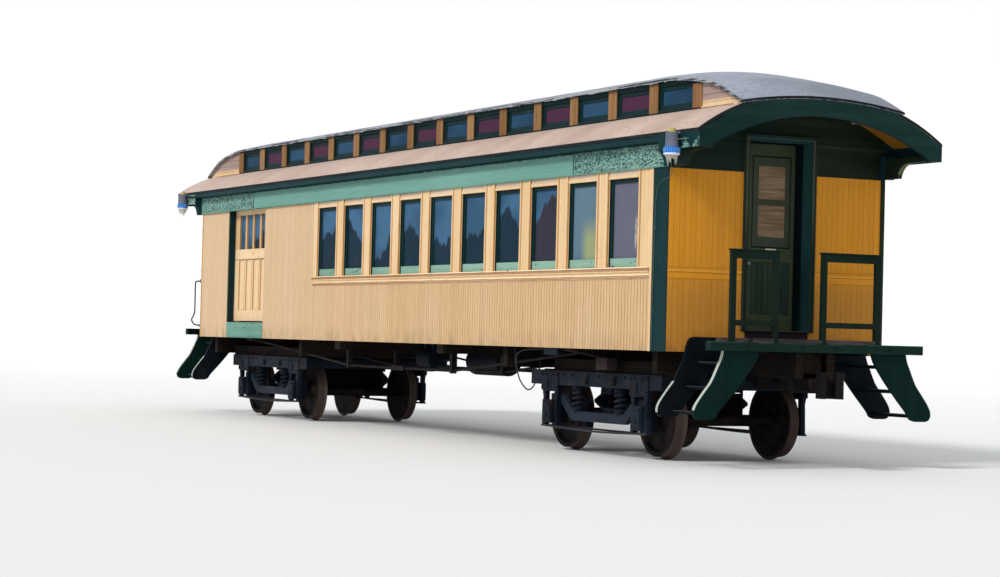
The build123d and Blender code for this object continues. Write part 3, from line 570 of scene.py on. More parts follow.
SEA_GREEN = Paint((0.11, 0.245, 0.195), (0.20, 0.38, 0.315), (0.03, 0.07, 0.06), 0.7, 0.40, 30.0, Along.X, 0.6)
RAIL_GREEN = Paint((0.19, 0.34, 0.27), (0.28, 0.45, 0.365), (0.06, 0.12, 0.10), 0.9, 0.36, 34.0, Along.X, 0.6)
SIGN_GREEN = Paint((0.135, 0.30, 0.255), (0.20, 0.40, 0.345), (0.09, 0.18, 0.16), 0.6, 0.02, 18.0, Along.X, 0.55)
INSIDE = Paint((0.34, 0.25, 0.15), (0.42, 0.33, 0.22), (0.22, 0.15, 0.09), 0.5, 0.05, 14.0)
POST_PAINT = Paint((0.20, 0.098, 0.036), (0.33, 0.185, 0.085), (0.09, 0.045, 0.020), 0.9, 0.30, 20.0)
OLIVE = Paint((0.040, 0.056, 0.028), (0.060, 0.078, 0.044), (0.08, 0.09, 0.06), 0.7, 0.04, 14.0)
SASH_OLIVE = Paint((0.040, 0.050, 0.032), (0.060, 0.074, 0.052), (0.07, 0.08, 0.06), 0.7, 0.04, 14.0)
PANEL_GREEN = Paint((0.010, 0.021, 0.013), (0.030, 0.054, 0.038), (0.05, 0.06, 0.04), 0.9, 0.04, 14.0)
CASING_GREEN = Paint((0.046, 0.058, 0.040), (0.066, 0.080, 0.056), (0.07, 0.09, 0.07), 0.7, 0.04, 14.0)
GUARD_GREEN = Paint((0.004, 0.010, 0.007), (0.007, 0.021, 0.015), (0.03, 0.05, 0.035), 0.6, 0.06, 12.0, roughness=0.5)
BEAM_GREEN = Paint((0.003, 0.016, 0.012), (0.010, 0.028, 0.022), (0.03, 0.06, 0.05), 0.6, 0.12, 12.0, Along.Y, 0.5)
STEP_GREEN = Paint((0.001, 0.012, 0.010), (0.002, 0.023, 0.019), (0.04, 0.08, 0.07), 0.6, 0.05, 12.0, roughness=0.5)
CORNER_TEAL = Paint((0.003, 0.026, 0.031), (0.008, 0.044, 0.050), (0.06, 0.12, 0.12), 0.6, 0.10, 14.0, roughness=0.5)
BOW_TEAL = Paint((0.004, 0.019, 0.019), (0.012, 0.034, 0.032), (0.04, 0.06, 0.045), 0.9, 0.12, 9.0, Along.Y, 0.5)
# Near-black used as painted shade: behind the platforms' end beams, on the steps' inner boards and treads, and behind
# the end doors' sashes.
PAINTED_SHADE_DARK = Paint((0.002, 0.005, 0.008), (0.005, 0.010, 0.015), (0.02, 0.03, 0.03), 0.6, 0.03, 12.0, roughness=0.5)


class SideWallFinish:
    """Side walls: cream boards, dark front corner boards, green doorway reveals and sill plates."""

    def material(self) -> bpy.types.Material:
        """Makes the material.

        Returns:
            The finished material.
        """
        graph = Graph("side_wall_paint")
        x, y, z = graph.position()
        side = abs(y)
        wall = Boards(Along.X, 0.0685, 0.085, (0.22, 0.12, 0.05), 0.62).over(CREAM.layer(graph))
        # Paler towards the rear.
        wall = wall.dirt_and_shade(x.rise(3.0, -7.4) * 0.35, (0.72, 0.55, 0.40))
        plain = CREAM_TRIM.layer(graph)
        band = (
            z.inside(CAR.window_low - 0.115, CAR.letter_low + 0.1) * x.rise(CAR.belt_rear - 0.03, CAR.belt_rear - 0.02)
        )
        proud = side.rise(CAR.half_width + 0.001, CAR.half_width + 0.003)
        wall = wall.under((band + proud).low(1.0), plain)
        pilaster = x.inside(CAR.half_length - 0.66, CAR.half_length - 0.32)
        wall = wall.under(pilaster * z.rise(2.10, 2.12), plain)
        corner = x.rise(CAR.half_length - 0.322, CAR.half_length - 0.318)
        wall = wall.under(corner, CORNER_TEAL.layer(graph))
        doorway = x.inside(CAR.door_rear, CAR.door_front) * z.rise(CAR.floor + 0.002, CAR.floor - 0.002)
        wall = wall.under(doorway, SEA_GREEN.layer(graph))
        reveal = side.inside(CAR.half_width - 0.099, CAR.half_width - 0.001, 0.001)
        wall = wall.under(reveal * z.inside(CAR.floor, CAR.letter_low + 0.05), DARK_TEAL.layer(graph))
        wall = wall.under(side.rise(1.297, 1.295), INSIDE.layer(graph))
        foot = z.rise(1.50, 1.20) * graph.noise(5.0, 4, (1, 1, 0.5), 2.0).rise(0.35, 0.75) * 0.45
        return wall.dirt_and_shade(foot, (0.16, 0.12, 0.08)).material(0.004)


class EndWallFinish:
    """End walls: golden boards under a dark green frieze, with dark casings and jambs, painted shadow lines at the
    belts, and painted shade and light on the frieze, casings and jambs.
    """

    def material(self) -> bpy.types.Material:
        """Makes the material.

        Returns:
            The finished material.
        """
        graph = Graph("end_wall_paint")
        x, y, z = graph.position()
        end = abs(x)
        wall = Boards(Along.Y, 0.070, 0.035, (0.26, 0.10, 0.012), 0.3).over(GOLD.layer(graph))
        # Darker towards the bottom.
        wall = wall.dirt_and_shade(z.rise(2.30, 1.75) * 0.26, (0.12, 0.10, 0.06))
        # Painted shadow: thin dark lines just below and just above the belts.
        lines = z.inside(CAR.sill + 0.782, CAR.sill + 0.788) * 0.6 + z.inside(CAR.sill + 0.903, CAR.sill + 0.911)
        wall = wall.dirt_and_shade(lines * 0.6, (0.20, 0.08, 0.01))
        frieze = FRIEZE_GREEN.layer(graph)
        seam = z.inside(3.515, 3.523)
        # Painted shade: the frieze turns darker and tealer towards negative Y.
        frieze = frieze.dirt_and_shade(y.rise(0.5, -0.5) * 0.5, (0.003, 0.016, 0.015))
        # The seam at z 3.52 is a dark joint on the negative-Y side and a painted highlight, a pale line, on the
        # positive-Y side.
        frieze = frieze.dirt_and_shade(seam * y.rise(0.1, -0.1), (0.004, 0.006, 0.004))
        frieze = frieze.dirt_and_shade(seam * y.rise(-0.1, 0.1) * 0.6, (0.05, 0.075, 0.055))
        wall = wall.under(z.rise(3.198, 3.202), frieze)
        corner = y.rise(CAR.half_width - 0.052, CAR.half_width - 0.048)
        wall = wall.under(corner * z.rise(3.202, 3.198), DARK_GREEN.layer(graph))
        casing = end.rise(CAR.half_length + 0.001, CAR.half_length + 0.003)
        shade = z.rise(2.9, 2.2) * 0.85
        wall = wall.under(casing, CASING_GREEN.layer(graph).dirt_and_shade(shade, (0.006, 0.012, 0.010)))
        # The jambs carry painted light and shade: near-black deep inside, a lit blue-teal band near the face, and
        # painted shade on that band towards its foot.
        jamb = abs(y).rise(0.4072, 0.4068) * z.rise(3.61, 3.60)
        shaded = Paint((0.002, 0.009, 0.011), (0.005, 0.016, 0.018), (0.02, 0.03, 0.03), flaking=0.02).layer(graph)
        lit = Paint((0.018, 0.070, 0.075), (0.028, 0.090, 0.096), (0.06, 0.09, 0.09), flaking=0.03).layer(graph)
        lit = lit.dirt_and_shade(z.rise(2.5, 1.5) * 0.75, (0.004, 0.014, 0.018))
        wall = wall.under(jamb, shaded.under(end.rise(7.262, 7.266), lit))
        step = abs(y).rise(0.412, 0.408) * z.rise(CAR.floor + 0.001, CAR.floor - 0.001)
        wall = wall.under(step, Layer(graph, (0.016, 0.014, 0.018), 0.9, 0.2))
        wall = wall.under(
            end.rise(CAR.half_length - 0.0955, CAR.half_length - 0.0965) * (1.0 - jamb), INSIDE.layer(graph)
        )
        foot = z.rise(1.46, 1.20) * graph.noise(6.0, 4).rise(0.35, 0.7) * 0.5
        return wall.dirt_and_shade(foot, (0.10, 0.06, 0.03)).material(0.002)


class SashFinish:
    """Side sashes: dark teal members over bottom rails of flaking sea green."""

    def material(self) -> bpy.types.Material:
        """Makes the material.

        Returns:
            The finished material.
        """
        graph = Graph("side_sash_paint")
        z = graph.position()[2]
        dark = Paint((0.005, 0.022, 0.024), (0.012, 0.040, 0.042), flaking=0.08).layer(graph)
        rail = z.rise(CAR.window_low + 0.112, CAR.window_low + 0.108)
        return dark.under(rail, RAIL_GREEN.layer(graph)).material(0.002)


class BeltFinish:
    """Belt mouldings: flaking cream, with brown painted shade in the hollows between them."""

    def material(self) -> bpy.types.Material:
        """Makes the material.

        Returns:
            The finished material.
        """
        graph = Graph("belt_paint")
        z = graph.position()[2]
        pale = Paint((0.80, 0.58, 0.34), (0.92, 0.76, 0.54), (0.40, 0.22, 0.10), 0.9, 0.30, 20.0, Along.X).layer(graph)
        # Brown coat: painted shade for the hollows between the mouldings.
        brown = Paint((0.34, 0.17, 0.085), (0.50, 0.29, 0.17), (0.22, 0.11, 0.06), 0.8, 0.2, 20.0, Along.X).layer(graph)
        waver = graph.noise(6.0, 4, (1, 1, 0), 3.0) * 0.010
        depth = CAR.window_low - z + waver
        hollow = (
            depth.inside(0.012, 0.046, 0.008) + depth.inside(0.052, 0.074, 0.006) + depth.inside(0.094, 0.124, 0.006)
        )
        return pale.under(hollow.low(1.0), brown).material(0.003)


@dataclass(frozen=True)
class PaintFinish:
    """One coat of old paint all over, with blotches of dirt."""

    name: str
    paint: Paint
    dirt: float = 0.25
    depth: float = 0.0015

    def material(self) -> bpy.types.Material:
        """Makes the material.

        Returns:
            The finished material.
        """
        graph = Graph(self.name)
        layer = self.paint.layer(graph)
        mask = graph.noise(3.5, 5, (1, 1, 0.6), 4.0).rise(0.5, 0.8) * self.dirt
        return layer.dirt_and_shade(mask).material(self.depth)


class LetterBoardFinish:
    """Letter boards: a smooth bare sign board in the middle and cracked sea green beyond its ends, under a wavy dark
    top edge that is partly dark paint and partly painted shadow.
    """

    def material(self) -> bpy.types.Material:
        """Makes the material.

        Returns:
            The finished material.
        """
        graph = Graph("letter_board_paint")
        x, _, z = graph.position()
        dark = CORNER_TEAL.layer(graph)
        worms = abs(graph.noise(19.0, 3, (0.75, 1, 1.3), 4.0) - 0.5).rise(0.050, 0.026)
        spots = graph.noise(48.0, 3, (0.6, 1, 1), 6.0).rise(0.56, 0.62)
        cracked = Paint(
            (0.16, 0.32, 0.27), (0.28, 0.48, 0.41), flaking=0.1, flake_size=60.0, grain=Along.X
        ).layer(graph)
        cracked = cracked.under((worms * 0.85 + spots * 0.5).low(1.0), dark)
        # The wavy dark band along the top edge is partly dark paint and partly a painted shadow of the eave.
        waver = (graph.noise(7.0, 3, (1, 1, 0.0), 8.0) - 0.5) * 0.04
        cracked = cracked.under((z + waver).rise(CAR.letter_high - 0.016, CAR.letter_high - 0.008), dark)
        sign = SIGN_GREEN.layer(graph)
        sign = sign.under((z + waver).rise(CAR.letter_high - 0.020, CAR.letter_high - 0.012), dark)
        layer = cracked.under(x.inside(-5.05, 5.29), sign)
        seam = x.inside(5.285, 5.295) + x.inside(-5.055, -5.045)
        layer = layer.dirt_and_shade(seam)
        return layer.under(z.rise(CAR.letter_high - 0.001, CAR.letter_high + 0.001), dark).material(0.003)


class HoodFinish:
    """Hoods: dark teal bows, with crackled green paint on the side boards beyond the car's corners."""

    def material(self) -> bpy.types.Material:
        """Makes the material.

        Returns:
            The finished material.
        """
        graph = Graph("hood_paint")
        x, y, z = graph.position()
        bow = BOW_TEAL.layer(graph)
        dark = CORNER_TEAL.layer(graph)
        pale = Paint((0.12, 0.26, 0.23), (0.30, 0.46, 0.41), flaking=0.1, flake_size=60.0, grain=Along.X).layer(graph)
        worms = abs(graph.noise(19.0, 3, (1, 1, 1.3), 4.0) - 0.5).rise(0.026, 0.052)
        patches = graph.noise(6.0, 3, (1, 1, 1.5), 2.5).rise(0.52, 0.60) * x.rise(7.55, 7.75)
        rear = x.rise(-7.0, -7.3)
        side = abs(y).rise(1.538, 1.540) * z.rise(3.525, 3.50)
        board = dark.under((worms * (patches + rear)).low(1.0) * side, pale)
        return bow.under(abs(x).rise(8.256, 8.254), board).material(0.002)


class ClerestoryFinish:
    """Clerestory walls: dark round the sashes, and darker brownish boards, cream lower down, under the roof's noses."""

    def material(self) -> bpy.types.Material:
        """Makes the material.

        Returns:
            The finished material.
        """
        graph = Graph("clerestory_paint")
        x, y, z = graph.position()
        dark = DARK_TEAL.layer(graph)
        nose_boards = Paint(
            (0.33, 0.235, 0.20), (0.43, 0.335, 0.30), (0.16, 0.10, 0.07), 0.9, 0.18, 12.0, Along.X
        ).layer(graph)
        nose_boards = nose_boards.under(z.rise(3.945, 3.915), CREAM_TRIM.layer(graph))
        ends = Boards(Along.Z, 0.085, 0.05, (0.12, 0.08, 0.06), 0.7).over(nose_boards)
        layer = dark.under(x.rise(7.370, 7.375) + x.rise(-6.870, -6.875), ends)
        layer = layer.under(abs(y).inside(0.93, 0.9855), DARK_GREEN.layer(graph))
        return layer.under(abs(y).rise(0.929, 0.927), INSIDE.layer(graph)).material(0.002)


@dataclass(frozen=True)
class GlassFinish:
    """Old panes: painted reflections of a clouded sky above a dark line of trees and of two pale patches, dust, and a
    tint on every second pane.
    """

    name: str
    colour: Colour = (0.055, 0.090, 0.135)
    ground: Colour | None = None
    tint: Colour | None = None
    pitch: float = 0.939
    start: float = 7.42
    horizon: float = 2.62
    alpha: float = 0.90

    def material(self) -> bpy.types.Material:
        """Makes the material.

        Returns:
            The finished material.
        """
        graph = Graph(self.name)
        x, _, z = graph.position()
        # Painted reflection of a clouded sky.
        cloud = graph.noise(1.1, 2, (1, 1, 1.5), 6.0)
        light = tuple(min(1.0, part * 1.5) for part in self.colour)
        colour = graph.mix(cloud.rise(0.38, 0.62), self.colour, light)
        if self.ground is not None:
            # Painted reflections: sky lighter in the front windows and greyer in the frontmost ones, and trees below a
            # wavy line.
            near = x.rise(4.95, 5.10)
            colour = graph.mix(near * z.rise(2.0, 2.4), colour, (0.105, 0.175, 0.235))
            colour = graph.mix(x.rise(6.00, 6.10) * 0.9, colour, (0.120, 0.120, 0.165))
            line = self.horizon + (
                graph.noise(0.8, 2, (1, 0, 0), 4.0) - 0.5
            ) * 2.2 + graph.noise(9.0, 4, (1, 1, 0.3), 2.0) * 0.30
            trees = (line - z).rise(-0.02, 0.04) * (1.0 - near)
            leaves = graph.noise(16.0, 4, (1, 1, 1), 8.0)
            ground = graph.mix(leaves.rise(0.5, 0.75) * 0.7, self.ground, (0.022, 0.020, 0.024))
            ground = graph.mix(x.rise(3.95, 4.10) * 0.75, ground, (0.040, 0.028, 0.036))
            colour = graph.mix(trees * 0.92, colour, ground)
            # Painted reflections of two pale patches in front windows.
            reflected_patch = x.inside(5.46, 5.78, 0.22) * z.inside(2.12, 2.60, 0.34)
            colour = graph.mix(reflected_patch * 0.75, colour, (0.34, 0.36, 0.15))
            reflected_patch = x.inside(6.63, 6.79, 0.03) * z.inside(2.36, 2.66, 0.16)
            colour = graph.mix(reflected_patch * leaves.rise(0.3, 0.6) * 0.8, colour, (0.50, 0.46, 0.42))
        if self.tint is not None:
            pane = ((self.start - x) / (2 * self.pitch)).fract()
            colour = graph.mix(pane.rise(0.499, 0.501), colour, self.tint)
        dust = graph.noise(14.0, 5, (1, 1, 0.4), 2.0).rise(0.5, 0.8) * 0.04
        colour = graph.mix(dust, colour, (0.20, 0.19, 0.17))
        return graph.finish(colour, 0.10 + dust * 0.6, None, Alpha=self.alpha, Specular_IOR_Level=0.05, IOR=1.15)


@dataclass(frozen=True)
class CanvasFinish:
    """Painted roof canvas: bleached blotches, dust and seams across the car."""

    name: str
    colour: Colour
    bleached: Colour
    stain: Colour
    seam_pitch: float = 1.05
    seam_strength: float = 0.5
    rim: Colour | None = None

    def material(self) -> bpy.types.Material:
        """Makes the material.

        Returns:
            The finished material.
        """
        graph = Graph(self.name)
        x, y, _ = graph.position()
        blotch = graph.noise(0.9, 5, (1, 0.6, 1), 3.0)
        fine = graph.noise(16.0, 5, (1, 1, 1), 1.0)
        colour = graph.mix(blotch.rise(0.35, 0.68), self.colour, self.bleached)
        colour = graph.mix(fine.rise(0.5, 0.78) * 0.45, colour, self.stain)
        wobble = graph.noise(2.2, 2, (1, 1, 1), 5.0) * 0.05
        seam = abs(((x + wobble) / self.seam_pitch).fract() - 0.5).rise(0.492, 0.498)
        colour = graph.mix(seam * self.seam_strength, colour, self.stain)
        cracks = graph.cells(3.2, (1, 1.6, 1), True, 2.0).rise(0.012, 0.004) * blotch.rise(0.4, 0.6)
        colour = graph.mix(cracks * 0.5, colour, self.stain)
        if self.rim is not None:
            edge = abs(y).rise(CAR.eave_plane - 0.003, CAR.eave_plane - 0.002)
            colour = graph.mix(edge.high(abs(x).rise(CAR.hood_end - 0.002, CAR.hood_end - 0.001)), colour, self.rim)
        height = fine * 0.4 + blotch * 0.8 + seam * 0.6 - cracks * 0.4
        return graph.finish(colour, 0.72 + fine * 0.2, height, 0.006)


class RoofEdgeFinish:
    """Frayed roof edge: dark and pale layers of felt one above the other."""

    def material(self) -> bpy.types.Material:
        """Makes the material.

        Returns:
            The finished material.
        """
        graph = Graph("roof_edge_felt")
        layers = graph.noise(70.0, 2, (0.012, 0.5, 1), 3.0)
        torn = graph.noise(9.0, 5, (1, 1, 1), 5.0)
        pale = (layers + (torn - 0.5) * 0.30).rise(0.46, 0.54)
        colour = graph.mix(pale, (0.030, 0.034, 0.040), (0.33, 0.35, 0.38))
        return graph.finish(colour, 0.8, pale * 0.6 + torn * 0.3, 0.004)


@dataclass(frozen=True)
class IronFinish:
    """Dirty painted iron: dark paint with blotches of dust and of rust."""

    name: str
    colour: Colour = (0.003, 0.006, 0.012)
    rust: Colour = (0.020, 0.011, 0.009)
    dust: Colour = (0.020, 0.030, 0.052)
    rusting: float = 0.25
    roughness: float = 0.62

    def material(self) -> bpy.types.Material:
        """Makes the material.

        Returns:
            The finished material.
        """
        graph = Graph(self.name)
        patch = graph.noise(4.5, 5, (1, 1, 1), 2.0)
        fine = graph.noise(70.0, 3, (1, 1, 1), 5.0)
        colour = graph.mix(graph.noise(2.0, 3, (1, 1, 1), 9.0).rise(0.4, 0.75) * 0.5, self.colour, self.dust)
        mask = (patch + (fine - 0.5) * 0.3).rise(0.66 - self.rusting * 0.3, 0.78 - self.rusting * 0.3)
        colour = graph.mix(mask * 0.8, colour, self.rust)
        return graph.finish(colour, self.roughness + mask * 0.25, fine * 0.5 + patch, 0.0015, Specular_IOR_Level=0.1)


@dataclass(frozen=True)
class WheelFinish:
    """Dark wheels with a thin bloom of rust and lighter worn treads."""

    truck_centre: float = 5.21
    axle_reach: float = 1.067
    axle_height: float = 0.447
    tread_radius: float = 0.419

    def material(self) -> bpy.types.Material:
        """Makes the material.

        Returns:
            The finished material.
        """
        graph = Graph("wheel_steel")
        patch = graph.noise(6.0, 5, (1, 1, 1), 2.0)
        fine = graph.noise(80.0, 3, (1, 1, 1), 5.0)
        x, _, z = graph.position()
        along = abs(abs(x) - self.truck_centre) - self.axle_reach
        radius = (along * along + (z - self.axle_height) * (z - self.axle_height)).maths("SQRT")
        colour = graph.mix(patch.rise(0.4, 0.7), (0.004, 0.003, 0.004), (0.018, 0.012, 0.010))
        tread = radius.rise(self.tread_radius - 0.012, self.tread_radius - 0.004)
        colour = graph.mix(tread * 0.9, colour, (0.060, 0.042, 0.036))
        return graph.finish(colour, 0.6 + fine * 0.25, fine * 0.5 + patch, 0.0015, Specular_IOR_Level=0.1)


@dataclass(frozen=True)
class TimberFinish:
    """Bare or oiled timber with its grain."""

    name: str
    light: Colour
    dark: Colour
    grain: Along = Along.X
    planks: Boards | None = None
    roughness: float = 0.8

    def material(self) -> bpy.types.Material:
        """Makes the material.

        Returns:
            The finished material.
        """
        graph = Graph(self.name)
        grain = graph.noise(38.0, 4, self.grain.stretch(0.05), 2.0)
        blotch = graph.noise(1.6, 4, self.grain.stretch(0.5), 6.0)
        colour = graph.mix((grain * 0.6 + blotch * 0.4).rise(0.35, 0.65), self.dark, self.light)
        layer = Layer(graph, colour, self.roughness + grain * 0.1, grain * 0.6)
        if self.planks is not None:
            layer = self.planks.over(layer)
        return layer.material(0.002)


class PlatformFinish:
    """Platforms: green beams with a pale top edge that is partly wear and partly painted highlight, sills near-black as
    painted shade, and worn boards on top.
    """

    def material(self) -> bpy.types.Material:
        """Makes the material.

        Returns:
            The finished material.
        """
        graph = Graph("platform_paint")
        x, _, z = graph.position()
        layer = BEAM_GREEN.layer(graph)
        # Painted shade: near-black behind the end beam's face.
        layer = layer.under(abs(x).rise(8.171, 8.169), PAINTED_SHADE_DARK.layer(graph))
        # Pale line along the beam's top edge: partly wear, partly painted highlight.
        worn = graph.noise(5.0, 4, (1, 1, 0), 2.0).rise(0.35, 0.6) * abs(x).rise(8.20, 8.22)
        layer = layer.under(z.inside(1.330, 1.3455, 0.004) * worn * 0.7, Layer(graph, (0.022, 0.062, 0.050), 0.8, 0.2))
        grain = graph.noise(26.0, 4, Along.Y.stretch(0.06), 3.0)
        boards = graph.mix(grain.rise(0.35, 0.65), (0.030, 0.022, 0.026), (0.080, 0.058, 0.064))
        planks = Boards(Along.X, 0.105, 0.03, (0.02, 0.015, 0.012), 0.9).over(Layer(graph, boards, 0.85, grain * 0.5))
        return layer.under(z.rise(1.3450, 1.3456), planks).material(0.002)


class BaggageDoorFinish:
    """Baggage doors: cream leaves with worn golden edges round their panes and panels."""

    def material(self) -> bpy.types.Material:
        """Makes the material.

        Returns:
            The finished material.
        """
        graph = Graph("baggage_door_paint")
        _, y, z = graph.position()
        layer = CREAM_TRIM.layer(graph)
        inside = abs(y).rise(1.246, 1.244)
        sunk = abs(y).inside(1.25, 1.2855, 0.001)
        layer = layer.under(z.inside(2.60, 3.14) * 0.55, WORN_EDGE.layer(graph))
        layer = layer.under(sunk * z.rise(2.59, 2.60), WORN_EDGE.layer(graph))
        return layer.under(inside, INSIDE.layer(graph)).material(0.002)


# Meshes worked out as whole arrays


@dataclass
class Shape:
    """Corners and faces of one surface, before it becomes a mesh."""

    points: np.ndarray
    quads: np.ndarray
    tris: np.ndarray = field(default_factory=lambda: np.zeros((0, 3), int))
    slot: int = 0

    def moved(self, x: float = 0.0, y: float = 0.0, z: float = 0.0) -> "Shape":
        """A copy of the surface at another place.

        Args:
            x: Distance along X.
            y: Distance along Y.
            z: Distance along Z.

        Returns:
            The moved copy.
        """
        return Shape(self.points + np.array([x, y, z]), self.quads, self.tris, self.slot)

    def mirrored(self, axis: int) -> "Shape":
        """A copy on the other side of a middle plane, with its faces turned to point outwards.

        Args:
            axis: 0 for the plane across the car, 1 for the one along it.

        Returns:
            The mirrored copy.
        """
        sign = np.ones(3)
        sign[axis] = -1.0
        return Shape(self.points * sign, self.quads[:, ::-1], self.tris[:, ::-1], self.slot)


def outward(shape: Shape) -> Shape:
    """Turns the faces of a closed surface so that they point outwards.

    The volume inside is a sixth of the sum, over its triangles, of the first corner times the
    cross product of the two others; it comes out below 0 where the faces point inwards.

    Args:
        shape: The closed surface.

    Returns:
        The surface itself, or a copy with its faces turned.
    """
    corners = np.concatenate([shape.quads[:, :3], shape.quads[:, [0, 2, 3]], shape.tris])
    first, second, third = (shape.points[corners[:, index]] for index in range(3))
    if (first * np.cross(second, third)).sum() >= 0.0:
        return shape
    return Shape(shape.points, shape.quads[:, ::-1], shape.tris[:, ::-1], shape.slot)


def box_shape(boxes: Sequence[Sequence[Sequence[float]]] | np.ndarray, edge: float = 0.003, slot: int = 0) -> Shape:
    """Boards and blocks with chamfered edges.

    Each corner of a box gives three points, one on each of its faces, moved inwards by the chamfer
    along the two other axes. Six faces join the points of a face, twelve the points along an edge
    and eight triangles those at a corner.

    Args:
        boxes: One row for each box, with its low and its high corner.
        edge: Width of the chamfer.
        slot: Material slot.

    Returns:
        The surface of all boxes.
    """
    spans = np.asarray(boxes, float)
    low, high = np.minimum(spans[:, 0], spans[:, 1]), np.maximum(spans[:, 0], spans[:, 1])
    size = np.minimum(edge, (high - low).min(axis=1) * 0.3)[:, None, None, None]
    signs = np.array([[i >> 2 & 1, i >> 1 & 1, i & 1] for i in range(8)]) * 2 - 1
    inwards = 1.0 - np.eye(3)
    middle, half = (low + high) / 2, (high - low) / 2
    points = middle[:, None, None] + signs[None, :, None] * (half[:, None, None] - size * inwards[None, None])
    faces: list[tuple[int, ...]] = []
    corner = lambda bits, face: (bits[0] * 4 + bits[1] * 2 + bits[2]) * 3 + face
    for axis in range(3):
        first, second = (axis + 1) % 3, (axis + 2) % 3
        for side in (0, 1):
            ring = []
            for a, b in ((0, 0), (1, 0), (1, 1), (0, 1)):
                bits = [0, 0, 0]
                bits[axis], bits[first], bits[second] = side, a, b
                ring.append(corner(bits, axis))
            faces.append(tuple(ring if side else ring[::-1]))
        for a in (0, 1):
            for b in (0, 1):
                ends = []
                for along in (0, 1):
                    bits = [0, 0, 0]
                    bits[axis], bits[first], bits[second] = along, a, b
                    ends.append(bits)
                quad = [
                    corner(ends[0], first), corner(ends[1], first), corner(ends[1], second), corner(ends[0], second)
                ]
                faces.append(tuple(quad[::-1] if a == b else quad))
    quads = np.array(faces)
    corners = np.arange(24).reshape(8, 3)
    turned = (signs.prod(axis=1) < 0)[:, None]
    tris = np.where(turned, corners[:, ::-1], corners)
    shift = 24 * np.arange(len(spans))
    return Shape(
        points.reshape(-1, 3),
        (quads[None] + shift[:, None, None]).reshape(-1, 4),
        (tris[None] + shift[:, None, None]).reshape(-1, 3),
        slot,
    )


def grid_shape(points: np.ndarray, around: bool = False, slot: int = 0, closed: bool = False) -> Shape:
    """Surface through a grid of points, with the faces on the left of rows and columns.

    Args:
        points: Array of rows, columns and 3.
        around: Joins the last column to the first.
        slot: Material slot.
        closed: Joins the last row to the first.

    Returns:
        The surface.
    """
    rows, columns = points.shape[:2]
    index = np.arange(rows * columns).reshape(rows, columns)
    if around:
        index = np.concatenate([index, index[:, :1]], axis=1)
    if closed:
        index = np.concatenate([index, index[:1]], axis=0)
    quads = np.stack([index[:-1, :-1], index[:-1, 1:], index[1:, 1:], index[1:, :-1]], axis=-1)
    return Shape(points.reshape(-1, 3), quads.reshape(-1, 4), slot=slot)


def capped(shape: Shape, rows: int, columns: int) -> Shape:
    """Closes both ends of a grid that goes around, with a fan about each end's middle.

    Args:
        shape: Surface of the grid.
        rows: Its number of rows.
        columns: Its number of columns.

    Returns:
        The closed surface.
    """
    ends = shape.points.reshape(rows, columns, 3)[[0, -1]]
    count = rows * columns
    ring = np.arange(columns)
    after = (ring + 1) % columns
    last = (rows - 1) * columns
    first_fan = np.stack([after, ring, np.full(columns, count)], axis=1)
    last_fan = np.stack([last + ring, last + after, np.full(columns, count + 1)], axis=1)
    points = np.concatenate([shape.points, ends.mean(axis=1)])
    return Shape(points, shape.quads, np.concatenate([shape.tris, first_fan, last_fan]), shape.slot)


def edge_capped(shape: Shape, rows: int, columns: int) -> Shape:
    """Closes both ends of a grid whose ring runs out along one side of a sheet and back along the other.

    Each end face joins two neighbours of one side to the two points opposite, so that a bent sheet's
    ends keep its outline.

    Args:
        shape: Surface of the grid.
        rows: Its number of rows.
        columns: Its number of columns, half of them on each side.

    Returns:
        The closed surface.
    """
    near = np.arange(columns // 2 - 1)
    facing = columns - 1 - near
    ends = np.stack([near, near + 1, facing - 1, facing], axis=1)
    quads = np.concatenate([shape.quads, ends[:, ::-1], ends + (rows - 1) * columns])
    return outward(Shape(shape.points, quads, shape.tris, shape.slot))


def ribbon_shape(first: np.ndarray, second: np.ndarray, x: tuple[float, float], slot: int = 0) -> Shape:
    """Flat plate across the car between two edge lines.

    Args:
        first: Rows of Y and Z along one edge.
        second: As many rows along the other edge.
        x: Low and high faces of the plate.
        slot: Material slot.

    Returns:
        The closed surface.
    """
    ring = np.concatenate([first, second[::-1]])
    points = np.stack([np.concatenate([np.full((len(ring), 1), place), ring], axis=1) for place in x])
    return edge_capped(grid_shape(points, True, slot), *points.shape[:2])


def grid_ring(rows: int, columns: int) -> np.ndarray:
    """Faces that join the last row of a grid that goes around to its first row, as inside a tube.

    Args:
        rows: Number of rows of the grid.
        columns: Its number of columns.

    Returns:
        The faces.
    """
    ring = np.arange(columns)
    after = (ring + 1) % columns
    last = (rows - 1) * columns
    return np.stack([last + ring, last + after, after, ring], axis=1)


def turned_shape(
    profile: Sequence[Sequence[float]], centre: Colour, axis: Along, steps: int = 32, slot: int = 0
) -> Shape:
    """Surface of revolution: each profile point goes round the axis at its own radius.

    Args:
        profile: Rows of distance along the axis and radius; both end rows have a radius of 0.
        centre: Point on the axis where the distance is 0.
        axis: Direction of the axis.
        steps: Number of columns round it.
        slot: Material slot.

    Returns:
        The surface.
    """
    rows = np.asarray(profile, float)
    turn = np.linspace(0.0, 2 * np.pi, steps, endpoint=False)
    points = np.zeros((len(rows), steps, 3))
    first, second = (axis.value + 1) % 3, (axis.value + 2) % 3
    points[..., axis.value] = rows[:, :1]
    points[..., first] = rows[:, 1:] * np.cos(turn)
    points[..., second] = rows[:, 1:] * np.sin(turn)
    return grid_shape(points + np.array(centre), True, slot)


